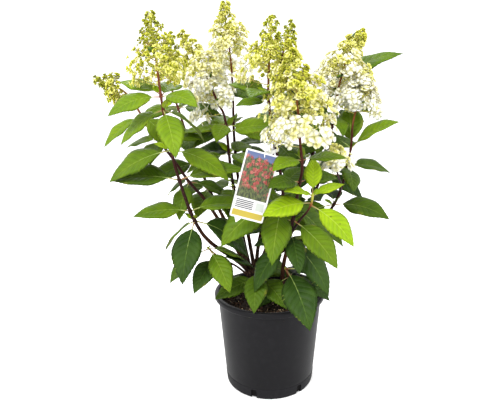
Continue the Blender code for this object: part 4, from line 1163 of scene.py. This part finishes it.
def leaf_finish(name, dark, light, rib, under=False):
    """A blade: its own two greens in soft patches, a pale midrib, side veins that sweep forward from
    it, and a surface that puffs up between them. The veins stand out more underneath. The green is
    painted darker in the grooves along the veins and beside the midrib, lighter towards the margin:
    painted shade."""
    made = Finish(name, specular=0.10 if under else 0.13, lets_through=0.2)
    place = made.node("TexCoord", out=2)
    u = made.node("SeparateXYZ", {0: place}, out=0)
    a = abs(made.node("SeparateXYZ", {0: place}, out=1) * 2 - 1)
    phase = (u - a * 0.24 + a * a * 0.03) * 8.5
    crest = abs(phase.part() - 0.5) * 2
    vein = crest.step(0.80, 0.98) * (1 - a.step(0.75, 1.0))
    midrib = 1 - a.step(0.010, 0.040)
    tint = made.mottle(0.035, detail=3.0).step(0.30, 0.70)
    lines = midrib * 0.50 + vein * (0.30 if under else 0.12)
    # Darker over the inner half of the blade beside the midrib, lighter towards the margin: painted shade in the fold.
    body = made.blend(tint * 0.75 + a.step(0.5, 1.0) * 0.25, dark, light)
    # Darker in the grooves along the side veins, lighter on the puffed surface between them: painted shade.
    shade = 0.83 + (1 - crest) * 0.13
    body = made.blend(lines, made.scaled(body, shade), rib)
    worn_edge = a.step(0.72, 1.0) * made.mottle(0.028, detail=4.0).step(0.60, 0.66) * 0.55
    body = made.blend(worn_edge, body, (0.30, 0.30, 0.035))
    specks = made.mottle(0.006, detail=2.0).step(0.70, 0.74) * made.mottle(0.05, detail=1.0).step(0.52, 0.62) * 0.7
    made.paint(made.blend(specks, body, (0.055, 0.045, 0.012)))
    made.rough((0.62 if under else 0.46) + tint * 0.12)
    made.relief((1 - vein) * 0.6 + (1 - crest) * 0.8 + midrib * 0.4 + made.mottle(0.002, detail=3.0) * 0.15, 0.0009, 0.7)
    return made


all_leaves = [plan for name in SHOOTS for plan in leaves_of(name)]
draw = np.random.default_rng(91)
small = []
for plan in all_leaves:
    if draw.uniform() < 0.42 and plan.foot[2] > 0.30:
        small.append(plan._replace(heading=plan.heading + draw.uniform(-0.5, 0.5), rise=draw.uniform(0.35, 1.0),
                                   length=draw.uniform(0.016, 0.034), droop=draw.uniform(0.3, 0.9),
                                   tone=plan.tone + 0.30))
plans = gathered(all_leaves + small)
tone = np.clip(plans["tone"] + draw.normal(0, 0.09, len(plans["tone"])), 0, 1)
shade_of = np.digitize(tone, (0.22, 0.38, 0.52, 0.78))
# Lit and shaded copies of the leaf green: lime is the young leaves' own colour, and the deep and mid greens are partly
# painted shade.
greens = [
    leaf_finish("leaf deep green", (0.017, 0.045, 0.004), (0.035, 0.078, 0.006), (0.09, 0.16, 0.02)),
    leaf_finish("leaf mid green", (0.038, 0.080, 0.003), (0.070, 0.130, 0.004), (0.17, 0.25, 0.03)),
    leaf_finish("leaf fresh green", (0.074, 0.143, 0.004), (0.124, 0.208, 0.006), (0.25, 0.34, 0.04)),
    leaf_finish("leaf bright green", (0.118, 0.210, 0.006), (0.185, 0.288, 0.009), (0.32, 0.42, 0.05)),
    leaf_finish("leaf lime green", (0.215, 0.350, 0.004), (0.305, 0.445, 0.008), (0.43, 0.54, 0.06)),
    leaf_finish("leaf underside", (0.110, 0.155, 0.025), (0.170, 0.215, 0.042), (0.28, 0.33, 0.10), under=True),
    leaf_finish("young underside", (0.235, 0.310, 0.018), (0.315, 0.400, 0.030), (0.46, 0.52, 0.09), under=True),
]
blade_points, blade_uv = blades(plans)
blade_forms = []
for shade in range(5):
    mine = shade_of == shade
    if mine.any():
        points, walls, ends = many_skins(blade_points[mine])
        top_side, under_side = walls[:, :, :6].reshape(-1, 4), walls[:, :, 6:].reshape(-1, 4)
        blade_forms.append(Form(points, [top_side, under_side, ends], [shade, 6 if shade > 2 else 5, shade],
                                blade_uv[mine].reshape(-1, 2)))
piece("leaves", FOLIAGE, greens, blade_forms)

rib_points, rib_share = ribs(plans)
points, walls, ends = many_skins(rib_points)
stalk = Finish("leaf stalk", roughness=0.5)
where = stalk.node("Attribute", out=2, attribute_name="mark")
flush = stalk.mottle(0.04).step(0.35, 0.65)
stalk.paint(stalk.blend(where.step(0.06, 0.22), stalk.blend(flush, (0.20, 0.26, 0.05), (0.26, 0.075, 0.035)), (0.30, 0.40, 0.10)))
piece("leaf_stalks", FOLIAGE, [stalk],
      [Form(points, [walls.reshape(-1, 4), ends], None, None, np.tile(rib_share, len(rib_points)))])

for name, made in (("panicle sprays", len(sprays)), ("florets", int(grown.sum())), ("leaves", len(all_leaves)), ("small leaves", len(small))):
    print(f"{name}: {made}")
